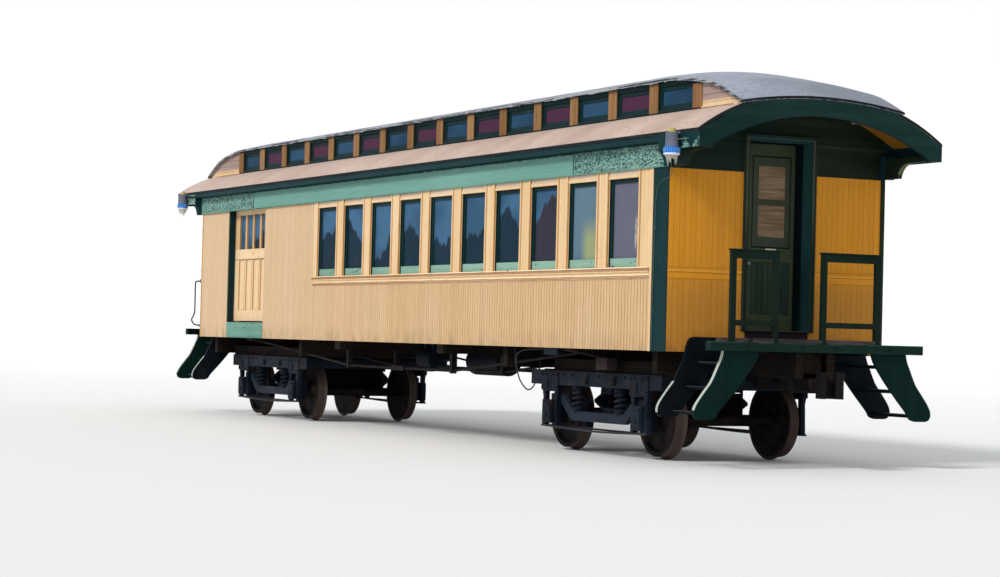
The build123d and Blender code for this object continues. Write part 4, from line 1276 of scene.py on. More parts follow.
def swept_shape(
    path: np.ndarray, profile: np.ndarray, up: Colour = (0, 0, 1), closed: bool = False, slot: int = 0
) -> Shape:
    """Profile carried along a path, upright to it at each point.

    At each point the tangent is the mean of the two runs there. The profile's first axis is the
    tangent crossed with up, its second the first axis crossed with the tangent.

    Args:
        path: Points of the path.
        profile: Rows of two distances, going round the section.
        up: Direction that the profile's second axis keeps to.
        closed: Joins the path's end to its start.
        slot: Material slot.

    Returns:
        The surface, with its ends closed where the path is open.
    """
    path, profile = np.asarray(path, float), np.asarray(profile, float)
    ahead = np.roll(path, -1, axis=0) - path
    behind = path - np.roll(path, 1, axis=0)
    if not closed:
        ahead[-1], behind[0] = behind[-1], ahead[0]
    unit = lambda rows: rows / np.maximum(np.linalg.norm(rows, axis=1, keepdims=True), 1e-9)
    tangent = unit(unit(ahead) + unit(behind))
    side = unit(np.cross(tangent, np.array(up, float)))
    top = np.cross(side, tangent)
    points = path[:, None] + profile[None, :, :1] * side[:, None] + profile[None, :, 1:] * top[:, None]
    shape = grid_shape(points, True, slot, closed)
    return shape if closed else capped(shape, *points.shape[:2])


def circle(radius: float, steps: int = 12) -> np.ndarray:
    """Round profile.

    Args:
        radius: Its radius.
        steps: Number of points.

    Returns:
        Rows of two distances.
    """
    turn = np.linspace(0.0, 2 * np.pi, steps, endpoint=False)
    return radius * np.stack([np.cos(turn), np.sin(turn)], axis=1)


def smooth_path(points: Sequence[Sequence[float]], steps: int = 8) -> np.ndarray:
    """Curve through points: between two of them a cubic whose slopes follow their neighbours.

    Args:
        points: Points that the curve passes.
        steps: Points for each run.

    Returns:
        The points of the curve.
    """
    knots = np.asarray(points, float)
    padded = np.concatenate([2 * knots[:1] - knots[1:2], knots, 2 * knots[-1:] - knots[-2:-1]])
    share = np.linspace(0.0, 1.0, steps, endpoint=False)[None, :, None]
    a, b, c, d = (padded[i : len(padded) - 3 + i, None] for i in range(4))
    curve = 0.5 * (
        2 * b + (c - a) * share + (2 * a - 5 * b + 4 * c - d) * share**2 + (3 * b - a - 3 * c + d) * share**3
    )
    return np.concatenate([curve.reshape(-1, knots.shape[1]), knots[-1:]])


def spans(x: Sequence, y: Sequence, z: Sequence) -> np.ndarray:
    """Boxes from their spans along the three axes.

    Args:
        x: Low and high ends along X: one pair, or one row for each box.
        y: The same along Y.
        z: The same along Z.

    Returns:
        One row for each box, with its low and its high corner.
    """
    rows = np.broadcast_arrays(*(np.atleast_2d(np.asarray(part, float)) for part in (x, y, z)))
    return np.stack(rows, axis=-1)


def about(middle: Any, width: float) -> np.ndarray:
    """Spans of one width about given middles.

    Args:
        middle: One middle or several.
        width: Width of each span.

    Returns:
        One row of a low and a high end for each middle.
    """
    middles = np.atleast_1d(np.asarray(middle, float))
    return np.stack([middles - width / 2, middles + width / 2], axis=1)


def mirrored_pair(shapes: Sequence[Shape], axis: int) -> list[Shape]:
    """Surfaces with their copies beyond a middle plane.

    Args:
        shapes: The surfaces.
        axis: 0 for the plane across the car, 1 for the one along it.

    Returns:
        The surfaces and then their copies.
    """
    return [*shapes, *(shape.mirrored(axis) for shape in shapes)]


def build_mesh(
    name: str,
    shapes: Sequence[Shape],
    materials: Sequence[bpy.types.Material],
    body: str = "car",
    replaces: Sequence[str] = (),
    smooth: float | None = 40.0,
) -> bpy.types.Object:
    """Joins surfaces into one mesh object that rides on a body.

    Args:
        name: Name of the piece.
        shapes: Its surfaces.
        materials: Materials, by the surfaces' slot numbers.
        body: Body that carries the piece.
        replaces: Nodes that the piece stands for.
        smooth: Angle in degrees up to which edges are shaded smooth, or none.

    Returns:
        The object.
    """
    starts = np.cumsum([0] + [len(shape.points) for shape in shapes])
    points = np.concatenate([shape.points for shape in shapes])
    faces: list[Sequence[int]] = []
    slots: list[int] = []
    for shape, start in zip(shapes, starts):
        faces += (shape.quads + start).tolist() + (shape.tris + start).tolist()
        slots += [shape.slot] * (len(shape.quads) + len(shape.tris))
    mesh = bpy.data.meshes.new(name)
    mesh.from_pydata(points.tolist(), [], faces)
    mesh.polygons.foreach_set("material_index", np.array(slots, dtype=np.int32))
    for material in materials:
        mesh.materials.append(material)
    mesh.validate()
    if smooth is not None:
        mesh.polygons.foreach_set("use_smooth", np.ones(len(mesh.polygons), dtype=bool))
        mesh.set_sharp_from_angle(angle=math.radians(smooth))
    mesh.update()
    piece = bpy.data.objects.new(name, mesh)
    bpy.context.scene.collection.objects.link(piece)
    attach(piece, body)
    if replaces:
        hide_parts(*replaces)
    LOG.info("%s: %d faces on %s", name, len(mesh.polygons), body)
    return piece


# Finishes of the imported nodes


class NodePaints:
    """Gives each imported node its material."""

    def __init__(self) -> None:
        """Makes each material once."""
        self.glass = GlassFinish("window_glass", (0.034, 0.088, 0.160), (0.008, 0.022, 0.036), alpha=0.98).material()
        self.dark_green = PaintFinish("dark_green_paint", DARK_GREEN).material()
        self.teal = PaintFinish("dark_teal_paint", DARK_TEAL).material()
        self.step_green = PaintFinish("step_green_paint", STEP_GREEN, 0.1).material()
        # Near-black painted shade, shared by platforms, steps and end doors.
        self.painted_shade_dark = PaintFinish("step_dark_paint", PAINTED_SHADE_DARK, 0.2).material()
        self.cream = PaintFinish("cream_trim_paint", CREAM_TRIM, 0.05).material()
        self.worn = PaintFinish("worn_edge_paint", WORN_EDGE, 0.05).material()
        self.iron = IronFinish("dark_iron").material()
        self.rusty = IronFinish(
            "rusty_iron", (0.005, 0.004, 0.005), (0.020, 0.011, 0.008), (0.01, 0.01, 0.012), 0.4
        ).material()
        self.black = IronFinish("black_steel", (0.008, 0.009, 0.011), (0.030, 0.018, 0.012), rusting=0.05).material()
        self.upper = CanvasFinish(
            "upper_roof_canvas", (0.20, 0.22, 0.27), (0.32, 0.355, 0.43), (0.12, 0.12, 0.13)
        ).material()
        self.lower = CanvasFinish(
            "lower_deck_canvas",
            (0.45, 0.32, 0.272),
            (0.56, 0.425, 0.365),
            (0.28, 0.17, 0.13),
            1.05,
            0.4,
            (0.006, 0.022, 0.024),
        ).material()
        self.soffit = PaintFinish(
            "soffit_paint", Paint((0.30, 0.13, 0.012), (0.24, 0.11, 0.016), flaking=0.04), 0.1
        ).material()
        self.inside = PaintFinish("inside_paint", INSIDE, 0.15).material()
        self.wheel = WheelFinish().material()
        self.worn_iron = IronFinish(
            "worn_iron", (0.011, 0.017, 0.030), (0.035, 0.021, 0.017), (0.030, 0.042, 0.066), 0.15
        ).material()
        self.rod_iron = IronFinish(
            "rod_iron", (0.028, 0.028, 0.036), (0.040, 0.028, 0.024), (0.060, 0.060, 0.072), 0.15
        ).material()
        self.brown = TimberFinish("weathered_brown", (0.040, 0.028, 0.029), (0.020, 0.014, 0.015)).material()
        self.corner = PaintFinish("corner_board_paint", CORNER_TEAL, 0.1).material()
        # Lighter olive: a painted highlight on the left brackets' curved edge.
        self.lit_bracket_edge = PaintFinish(
            "bracket_edge_paint", Paint((0.10, 0.115, 0.06), (0.15, 0.17, 0.09), flaking=0.1)
        ).material()
        self.roof_edge = RoofEdgeFinish().material()
        self.tar = IronFinish(
            "tarred_edge", (0.010, 0.012, 0.014), (0.05, 0.05, 0.05), (0.03, 0.03, 0.035), 0.1, 0.8
        ).material()
        self.sea = PaintFinish("sea_green_paint", SEA_GREEN, 0.05).material()
        self.post = PaintFinish("clerestory_post_paint", POST_PAINT, 0.1).material()
        self.gold = PaintFinish("gold_trim_paint", GOLD, 0.05).material()
        # Painted highlight: lighter gold for the belt bead.
        self.bead = PaintFinish("gold_bead_paint", GOLD_BEAD_HIGHLIGHT, 0.05).material()
        self.casing = PaintFinish("casing_paint", DARK_GREEN, 0.05).material()
        self.header = PaintFinish("header_paint", HEADER_PINK, 0.05).material()
        self.frieze = PaintFinish("frieze_trim_paint", FRIEZE_GREEN, 0.05).material()
        self.olive = PaintFinish("olive_door_paint", OLIVE, 0.1).material()
        self.sash_olive = PaintFinish("olive_sash_paint", SASH_OLIVE, 0.1).material()
        self.panel_green = PaintFinish("door_panel_paint", PANEL_GREEN, 0.1).material()
        self.belt = BeltFinish().material()
        self.ply = TimberFinish("weathered_plywood", (0.31, 0.225, 0.145), (0.16, 0.105, 0.062), Along.Y).material()
        self.knob = PaintFinish("worn_knob", Paint((0.22, 0.20, 0.15), (0.36, 0.34, 0.28), flaking=0.1)).material()
        self.guard = PaintFinish("guard_rail_paint", GUARD_GREEN, 0.2).material()
        self.pale_line = PaintFinish(
            "pale_line_paint", Paint((0.60, 0.60, 0.42), (0.70, 0.70, 0.54), flaking=0.1)
        ).material()
        # Pale step edges: wear, and on the steps' inner boards also a painted highlight.
        pale = Paint((0.40, 0.46, 0.41), (0.56, 0.60, 0.56), (0.02, 0.07, 0.06), flaking=0.35)
        self.pale_edge = PaintFinish("worn_step_edge", pale, 0.1).material()
        dull = Paint((0.02, 0.027, 0.034), (0.07, 0.08, 0.095), (0.01, 0.02, 0.02), flaking=0.4)
        self.dull_edge = PaintFinish("worn_tread_edge", dull, 0.2).material()
        # Painted shadow: brown line on the baggage doors.
        self.shadow_line = PaintFinish(
            "old_seam_paint", Paint((0.20, 0.12, 0.06), (0.30, 0.19, 0.10), flaking=0.2)
        ).material()
        self.tread = TimberFinish("worn_tread", (0.045, 0.034, 0.036), (0.016, 0.013, 0.016), Along.Y).material()
        self.lamp_grey = PaintFinish(
            "lamp_grey", Paint((0.12, 0.14, 0.19), (0.20, 0.22, 0.27), flaking=0.05)
        ).material()
        self.tan = PaintFinish("lamp_cap", Paint((0.46, 0.40, 0.12), (0.55, 0.50, 0.20), flaking=0.1), 0.1).material()
        self.blue = PaintFinish(
            "lamp_ring_blue", Paint((0.006, 0.15, 0.55), (0.02, 0.24, 0.70), flaking=0.0), 0.0
        ).material()
        self.pale_blue = PaintFinish(
            "lamp_rib_blue", Paint((0.30, 0.50, 0.80), (0.40, 0.60, 0.85), flaking=0.0)
        ).material()
        self.white = PaintFinish(
            "lamp_band_white", Paint((0.66, 0.72, 0.80), (0.75, 0.8, 0.85), flaking=0.05), 0.05
        ).material()
        self.clear = GlassFinish("broken_lamp_glass", (0.40, 0.38, 0.33), alpha=0.45).material()
        self.wire = PaintFinish(
            "wire_sheath", Paint((0.08, 0.12, 0.10), (0.15, 0.20, 0.17), flaking=0.1), 0.1
        ).material()
        self.cream_door = BaggageDoorFinish().material()
        self.oak = TimberFinish("dark_timber", (0.020, 0.015, 0.012), (0.007, 0.006, 0.005)).material()
        floor_planks = Boards(Along.Y, 0.12, 0.03, (0.05, 0.04, 0.03), 0.8)
        self.planks = TimberFinish(
            "floor_boards", (0.22, 0.17, 0.12), (0.10, 0.075, 0.05), planks=floor_planks
        ).material()

    def table(self) -> dict[str, bpy.types.Material]:
        """Material of each node.

        Returns:
            Materials by node name.
        """
        sash = SashFinish().material()
        tinted = GlassFinish("clerestory_glass_tints", (0.016, 0.048, 0.092), tint=(0.070, 0.026, 0.058), alpha=0.96)
        paints = {
            "upper_roof": self.upper,
            "lower_decks": self.lower,
            "clerestory_walls": ClerestoryFinish().material(),
            "clerestory_sashes": self.teal,
            "clerestory_glass": tinted.material(),
            "side_walls": SideWallFinish().material(),
            "side_sashes": sash,
            "side_glass": self.glass,
            "letter_boards": LetterBoardFinish().material(),
            "end_walls": EndWallFinish().material(),
            "hoods": HoodFinish().material(),
            "floor": self.planks,
            "underframe": self.oak,
            "truss_rods": self.rusty,
            "underfloor_gear": self.iron,
            "partition": self.inside,
            "door_hardware": self.black,
            "platforms": PlatformFinish().material(),
            "steps": self.step_green,
            "guard_rails": self.guard,
            "couplers": self.rusty,
            "lamps": self.lamp_grey,
            "lamp_wire": self.wire,
            "end_door_front": self.olive,
            "end_door_rear": self.olive,
            "baggage_door_right": self.cream_door,
            "baggage_door_left": self.cream_door,
            "baggage_glass_right": self.glass,
            "baggage_glass_left": self.glass,
        }
        for end in ("front", "rear"):
            for part in ("truck_frame", "journal_boxes", "springs", "brake_beams"):
                paints[f"{part}_{end}"] = self.iron
            paints[f"equalizers_{end}"] = self.worn_iron
            paints[f"truck_bolster_{end}"] = self.rusty
            for axle in ("outer", "inner"):
                paints[f"wheelset_{end}_{axle}"] = self.wheel
        return paints

    def apply(self, nodes: dict[str, bpy.types.Object]) -> None:
        """Assigns the materials.

        Args:
            nodes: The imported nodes' objects by name.
        """
        for name, material in self.table().items():
            for material_slot in nodes[name].material_slots:
                material_slot.material = material
        LOG.info("finished %d nodes", len(nodes))


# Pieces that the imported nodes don't show


def end_lip(x: float, y: np.ndarray, top: np.ndarray, seed: int, slot: int) -> Shape:
    """Thin ragged strip along the end of a roof, 26 mm deep and 4 mm proud.

    Args:
        x: Place of the roof's end.
        y: Distances from the middle plane along the strip.
        top: Height of the roof at these.
        seed: Start of the random numbers.
        slot: Material slot.

    Returns:
        The closed strip.
    """
    ragged = np.random.default_rng(seed).normal(0.0, 0.0025, len(y))
    ring = [(-0.020, 0.002), (0.000, 0.002), (0.004, -0.006), (0.003, -0.026), (-0.020, -0.026)]
    rows = [np.stack([np.full(len(y), x + dx), y, top + dz + ragged * (dz < -0.02)], axis=-1) for dx, dz in ring]
    points = np.stack(rows, axis=1)
    return outward(capped(grid_shape(points, True, slot), *points.shape[:2]))


@dataclass(frozen=True)
class UpperRoof:
    """The upper roof's canvas skin and the frayed moulding along its edges."""

    half_width: float = 1.037
    thickness: float = 0.030
    moulding: float = 0.032
    moulding_thickness: float = 0.012
    rows: int = 260
    columns: int = 26
    stations: tuple[tuple[float, float, float], ...] = (
        (-1.500, 3.009, 3.175),
        (-1.250, 3.009, 3.174),
        (-0.600, 3.004, 3.138),
        (-0.100, 2.955, 3.058),
        (0.300, 2.878, 2.965),
        (0.600, 2.762, 2.850),
        (0.840, 2.652, 2.749),
    )

    def lines(self) -> np.ndarray:
        """Heights of the roof's edge and crown along the car.

        Returns:
            Rows of X, edge height and crown height from the rear end to the front one.
        """
        nose = smooth_path(self.stations, 12)
        nose[:, 0] += CAR.half_length
        nose[:, 1:] += CAR.sill
        rear = nose[::-1] * np.array([-1.0, 1.0, 1.0])
        middle_x = np.linspace(rear[-1, 0], nose[0, 0], 120)[1:-1]
        middle = np.stack([middle_x, np.full(118, nose[0, 1]), np.full(118, nose[0, 2])], axis=1)
        return np.concatenate([rear, middle, nose])

    def heights(self, lines: np.ndarray, y: np.ndarray) -> np.ndarray:
        """Height of the roof's top: a circle's arc from edge to crown in each section.

        Args:
            lines: Rows of X, edge height and crown height.
            y: Distances from the middle plane.

        Returns:
            An array of a row for each line and a column for each distance.
        """
        rise = lines[:, 2:] - lines[:, 1:2]
        radius = (self.half_width**2 + rise**2) / (2 * rise)
        return lines[:, 2:] - radius + np.sqrt(radius**2 - y[None] ** 2)

    def skin(self) -> Shape:
        """The canvas over the roof boards: it sags between them by up to 2 mm.

        Returns:
            A closed surface.
        """
        lines = self.lines()
        y = self.half_width * np.sin(np.linspace(-np.pi / 2, np.pi / 2, self.columns))
        top = self.heights(lines, y)
        x = np.repeat(lines[:, :1], self.columns, axis=1)
        sag = 0.0012 * (np.sin(x * 9.1 + 3 * np.sin(y * 5)) * np.sin(y * 23 + x) - 1.0)
        upper = np.stack([x, np.broadcast_to(y, x.shape), top + sag], axis=-1)
        lower = upper[:, ::-1] * 1.0
        lower[..., 2] = (top - self.thickness)[:, ::-1]
        ring = np.concatenate([upper, lower], axis=1)
        return edge_capped(grid_shape(ring[::-1], True), *ring.shape[:2])

    def edge(self) -> Shape:
        """The moulding along one edge, with a frayed lower side.

        Returns:
            A closed strip.
        """
        lines = self.lines()
        x = np.interp(np.linspace(0, 1, 900), np.linspace(0, 1, len(lines)), lines[:, 0])
        top = np.interp(x, lines[:, 0], lines[:, 1]) + 0.001
        ragged = np.random.default_rng(7).normal(0.0, 1.0, (2, 900))
        fray = np.convolve(ragged[0], np.ones(5) / 5, "same") * 0.010 + ragged[1] * 0.0022
        wave = 0.004 * np.sin(x * 5.0) + 0.003 * np.sin(x * 13.0)
        low = top - self.moulding - fray - wave
        inside, outside = self.half_width - self.moulding_thickness, self.half_width + 0.004
        ring = [
            (inside, top),
            (outside, top - 0.004),
            (outside + 0.003, (top + low) / 2),
            (outside - 0.002, low),
            (inside, low),
        ]
        points = np.stack([np.stack([x, np.full(900, -y), z], axis=-1) for y, z in ring], axis=1)
        return capped(grid_shape(points, True, 1), *points.shape[:2])

    def lip(self, end: int) -> Shape:
        """Thin tarred edge over the bow at one end.

        Args:
            end: 1 for the front, -1 for the rear.

        Returns:
            A closed strip that follows the roof's last section.
        """
        y = np.linspace(-self.half_width, self.half_width, 160)
        line = self.lines()[-1:]
        top = self.heights(line, y)[0]
        shape = end_lip(line[0, 0], y, top, 3 + end, 2)
        return shape if end > 0 else shape.mirrored(0)

    def build(self, paints: "NodePaints") -> None:
        """Adds the roof in place of its node.

        Args:
            paints: Materials of the car.
        """
        shapes = [self.skin(), *mirrored_pair([self.edge()], 1), self.lip(1), self.lip(-1)]
        materials = [paints.upper, paints.roof_edge, paints.tar]
        build_mesh("upper_roof_canvas", shapes, materials, replaces=["upper_roof"])


@dataclass(frozen=True)
class Decks:
    """Drip edges of the lower decks, and the soffits under the hoods."""

    bulge: float = 0.022
    thickness: float = 0.030
    soffit_thickness: float = 0.008
    bow_inside: float = 8.21

    def height(self, y: np.ndarray) -> np.ndarray:
        """Height of a deck's top: the arc that rises by the bulge above its chord from eave to foot.

        Args:
            y: Distances from the middle plane.

        Returns:
            The heights.
        """
        run = CAR.eave_plane - CAR.clerestory_plane
        rise = CAR.foot - CAR.eave
        chord = math.hypot(run, rise)
        radius = (chord**2 / 4 + self.bulge**2) / (2 * self.bulge)
        back = radius - self.bulge
        middle_y = (CAR.eave_plane + CAR.clerestory_plane) / 2 - back * rise / chord
        middle_z = (CAR.eave + CAR.foot) / 2 - back * run / chord
        return middle_z + np.sqrt(radius**2 - (np.asarray(y) - middle_y) ** 2)

    def drip_edge(self) -> Shape:
        """Tarred edge strip of the right deck, wavy along its lower side.

        Returns:
            A closed strip.
        """
        x = np.linspace(-CAR.hood_end, CAR.hood_end, 700)
        noise = np.random.default_rng(11).normal(0.0, 0.0022, 700)
        low = CAR.eave - 0.026 - 0.003 * np.sin(x * 4.0) - np.convolve(noise, np.ones(4) / 2, "same")
        top = np.full(700, CAR.eave + 0.0015)
        plane = CAR.eave_plane
        ring = [(plane - 0.012, top), (plane, top - 0.003), (plane + 0.003, low), (plane - 0.012, low)]
        points = np.stack([np.stack([x, np.full(700, -y), z], axis=-1) for y, z in ring], axis=1)
        return capped(grid_shape(points, True), *points.shape[:2])

    def soffit(self, y: np.ndarray, height: Callable[[np.ndarray], np.ndarray], x: np.ndarray) -> Shape:
        """Thin ceiling under a roof, from the end wall to the bow.

        Args:
            y: Columns across the car.
            height: Gives the height of the roof's underside for all rows and columns.
            x: Rows along the car.

        Returns:
            A closed sheet.
        """
        under = height(y) - 0.001
        grid_x, grid_y = np.broadcast_to(x[:, None], under.shape), np.broadcast_to(y, under.shape)
        upper = np.stack([grid_x, grid_y, under], axis=-1)
        lower = (upper - np.array([0, 0, self.soffit_thickness]))[:, ::-1]
        ring = np.concatenate([upper, lower], axis=1)
        return edge_capped(grid_shape(ring[::-1], True), *ring.shape[:2])

    def front_soffits(self, roof: UpperRoof) -> list[Shape]:
        """Ceilings of the front hood: one under each deck and one under the roof's nose.

        Args:
            roof: The upper roof.

        Returns:
            Three sheets.
        """
        x = np.linspace(CAR.half_length + 0.001, self.bow_inside - 0.001, 12)
        deck_y = np.linspace(-1.499, -CAR.clerestory_plane - 0.002, 16)
        under_deck = lambda y: np.repeat(self.height(-y)[None] - self.thickness, len(x), axis=0)
        deck = self.soffit(deck_y, under_deck, x)
        lines = roof.lines()
        rows = np.stack([x, np.interp(x, lines[:, 0], lines[:, 1]), np.interp(x, lines[:, 0], lines[:, 2])], axis=1)
        nose_y = np.linspace(-0.926, 0.926, 30)
        nose = self.soffit(nose_y, lambda y: roof.heights(rows, y) - roof.thickness - 0.003, x)
        return [*mirrored_pair([deck], 1), nose]

    def bracket(self, side: int) -> list[Shape]:
        """Board lengthwise under one side of the front hood, hollowed below in a quarter curve.

        Args:
            side: 1 for the left side, whose hollow's edge is painted lighter as a highlight, -1 for the right.

        Returns:
            The board and the edge of its hollow.
        """
        low = [
            (7.421, 3.198),
            (7.735, 3.198),
            (7.745, 3.235),
            (7.770, 3.280),
            (7.810, 3.318),
            (7.870, 3.345),
            (8.000, 3.358),
            (8.205, 3.360),
        ]
        curve = np.concatenate([np.linspace(low[0], low[1], 6), smooth_path(low[2:], 6)])
        above = np.stack([curve[:, 0], np.full(len(curve), 3.420)], axis=1)
        edge = curve[7:30]
        shapes = [ribbon_shape(curve, above, (1.340, 1.398), 1)]
        inner, outer = edge + np.array([0.002, -0.002]), edge + np.array([-0.006, 0.006])
        shapes.append(ribbon_shape(inner, outer, (1.339, 1.399), 2 if side > 0 else 1))
        flip = np.array([1, side, 1])
        return [
            outward(Shape(shape.points[:, [1, 0, 2]] * flip, shape.quads, shape.tris, shape.slot)) for shape in shapes
        ]

    def build(self, paints: "NodePaints") -> None:
        """Adds the edges and the soffits.

        Args:
            paints: Materials of the car.
        """
        y = np.linspace(-CAR.eave_plane, -CAR.clerestory_plane, 60)
        lip = end_lip(CAR.hood_end, y, self.height(-y), 21, 0)
        edges = mirrored_pair([self.drip_edge(), lip, lip.mirrored(0)], 1)
        build_mesh("deck_drip_edges", edges, [paints.tar])
        soffits = mirrored_pair([*self.front_soffits(UpperRoof()), *self.bracket(1), *self.bracket(-1)], 0)
        build_mesh(
            "hood_soffits",
            soffits,
            [paints.soffit, paints.dark_green, paints.lit_bracket_edge],
            smooth=30.0,
        )


@dataclass(frozen=True)
class SideTrim:
    """Strips, posts, headers and mouldings round the side windows, and the corner boards."""

    strip: float = 0.046
    beads: tuple[tuple[float, float, float, int], ...] = (
        (0.0, 0.010, 0.016, 1), (0.012, 0.022, 0.022, 0), (0.036, 0.010, 0.010, 1)
    )
    reveal: float = 0.010
    post_proud: float = 0.009
    post_boards: int = 3
    rail: float = 0.038
    ledge_proud: float = 0.046
    corner_inside: float = 7.100

    def outward(self, proud: float, sunk: float = 0.002) -> tuple[float, float]:
        """Span across the right wall's face.

        Args:
            proud: How far the piece stands out.
            sunk: How far it reaches into the wall.

        Returns:
            The two ends along Y.
        """
        return -CAR.half_width - proud, -CAR.half_width + sunk

    def strips(self) -> list[Shape]:
        """Strips at both edges of each window: a thin worn bead and a wider cream one on each side.

        Returns:
            The strips.
        """
        low, high = CAR.window_spans().T
        z = (CAR.window_low, CAR.letter_low)
        shapes = []
        for start, width, proud, slot in self.beads:
            x = np.stack([low - self.reveal - start - width, high + self.reveal + start], axis=1).ravel()
            strip = spans(np.stack([x, x + width], axis=1), self.outward(proud), z)
            shapes.append(box_shape(strip, 0.004, slot))
        return shapes

    def posts(self) -> Shape:
        """Narrow boards side by side between the strips of neighbouring windows.

        Returns:
            The boards.
        """
        low, high = CAR.window_spans().T
        margin = self.reveal + self.strip
        starts = np.concatenate([high + margin, [CAR.belt_rear + 0.01]])
        ends = np.concatenate([[self.corner_inside - 0.045], low - margin])
        share = np.arange(self.post_boards + 1) / self.post_boards
        edges = starts[:, None] + (ends - starts)[:, None] * share
        x = np.stack([edges[:, :-1] + 0.002, edges[:, 1:] - 0.002], axis=-1).reshape(-1, 2)
        return box_shape(spans(x, self.outward(self.post_proud), (CAR.window_low, CAR.letter_low)), 0.004, 0)

    def headers(self) -> list[Shape]:
        """Board over each window with a rail along its lower edge.

        Returns:
            The boards and rails.
        """
        x = CAR.window_spans() + np.array([-self.reveal, self.reveal])
        rail_top = CAR.window_high + self.rail
        rails = spans(x, self.outward(0.013), (CAR.window_high, rail_top))
        boards = spans(x, self.outward(0.004), (rail_top, CAR.letter_low))
        return [box_shape(rails, 0.004, 0), box_shape(boards, 0.004, 3)]

    def belt(self) -> Shape:
        """Ledge on the belt rail and a bead along its foot, in lengths with butt joints.

        Returns:
            The mouldings.
        """
        joints = np.array([CAR.belt_rear, -0.79, 1.66, 3.51, 5.36, self.corner_inside - 0.045])
        x = np.stack([joints[:-1] + 0.001, joints[1:] - 0.001], axis=1)
        low = CAR.window_low
        ledge = spans(x, self.outward(self.ledge_proud), (low - 0.012, low + 0.006))
        nose = spans(x, self.outward(0.036), (low - 0.040, low - 0.014))
        bead = spans(x, self.outward(0.026), (low - 0.094, low - 0.074))
        foot = spans(x, self.outward(0.012), (low - 0.122, low - 0.100))
        return box_shape(np.concatenate([ledge, nose, bead, foot]), 0.006, 2)

    def corners(self) -> list[Shape]:
        """Dark front corner board, the cream strip beside it and the thin rear corner strip.

        Returns:
            The boards.
        """
        z = (CAR.sill - 0.004, CAR.letter_low)
        board = box_shape(spans((self.corner_inside, CAR.half_length), self.outward(0.012), z), 0.004, 2)
        strip = box_shape(
            spans((self.corner_inside - 0.045, self.corner_inside - 0.003), self.outward(0.018), z), 0.005, 0
        )
        rear = box_shape(spans((-CAR.half_length, 0.030 - CAR.half_length), self.outward(0.008), z), 0.003, 1)
        return [board, strip, rear]

    def doorway(self) -> list[Shape]:
        """Sill plate and edge strips of the baggage doorway.

        Returns:
            The plate and the strips.
        """
        plate = spans(
            (CAR.door_rear - 0.02, CAR.door_front), self.outward(0.008), (CAR.sill + 0.012, CAR.floor - 0.004)
        )
        edges = spans([(CAR.door_rear - 0.022, CAR.door_rear)], self.outward(0.006), (CAR.floor, CAR.letter_low))
        return [box_shape(plate, 0.004, 3), box_shape(edges, 0.003, 4)]

    def letter_board(self) -> list[Shape]:
        """Thin edge mouldings of the letter board, and the butt straps where its sign board ends.

        Returns:
            The mouldings.
        """
        face = CAR.half_width + 0.030
        under = spans(
            (-CAR.half_length, CAR.half_length),
            (-face - 0.006, -CAR.half_width),
            (CAR.letter_low - 0.012, CAR.letter_low + 0.001),
        )
        straps = spans(about([-5.05, 5.29], 0.014), (-face - 0.003, -face + 0.002), (CAR.letter_low, CAR.letter_high))
        return [box_shape(under, 0.003, 3), box_shape(straps, 0.002, 2)]

    def build(self, paints: "NodePaints") -> None:
        """Adds the trim to both sides.

        Args:
            paints: Materials of the car.
        """
        window = [*self.strips(), self.posts(), *self.headers(), self.belt()]
        other = [*self.corners(), *self.doorway(), *self.letter_board()]
        coats = [paints.cream, paints.worn, paints.belt, paints.header]
        build_mesh("side_window_trim", mirrored_pair(window, 1), coats, smooth=30.0)
        coats = [paints.cream, paints.worn, paints.corner, paints.sea, paints.dark_green]
        build_mesh("side_corner_boards", mirrored_pair(other, 1), coats, smooth=30.0)


@dataclass(frozen=True)
class ClerestoryTrim:
    """Post boards between the clerestory sashes, the sill under them and the panels' edges."""

    count: int = 15
    pitch: float = 0.939
    margin: float = 0.231
    width: float = 0.739
    low: float = 3.892
    high: float = 4.200

    def build(self, paints: "NodePaints") -> None:
        """Adds the boards to both sides.

        Args:
            paints: Materials of the car.
        """
        plane = CAR.clerestory_plane
        high = CAR.half_length - self.margin - self.pitch * np.arange(self.count)
        middles = np.concatenate([high + (self.pitch - self.width) / 2, [high[-1] - self.width - 0.10]])
        lines = UpperRoof().lines()
        tops = np.minimum(self.high, np.interp(np.abs(middles) + 0.11, lines[:, 0], lines[:, 1]) - 0.032)
        z = np.stack([np.full(len(middles), 3.864), tops], axis=1)
        posts = box_shape(spans(about(middles, 0.188), (-plane - 0.016, -plane + 0.002), z), 0.010, 0)
        beads = box_shape(spans(about(middles, 0.040), (-plane - 0.022, -plane), z), 0.008, 0)
        reach = (middles[-1] - 0.1, middles[0] + 0.1)
        sill = box_shape(spans(reach, (-plane - 0.010, -plane + 0.002), (3.862, 3.884)), 0.004, 1)
        ends = spans([(7.375, 8.0), (-8.0, -6.885)], (-plane - 0.016, -plane + 0.002), (3.856, 3.872))
        shapes = mirrored_pair([posts, beads, sill, box_shape(ends, 0.004, 2)], 1)
        materials = [paints.post, paints.teal, paints.cream]
        build_mesh("clerestory_trim", shapes, materials, smooth=30.0)


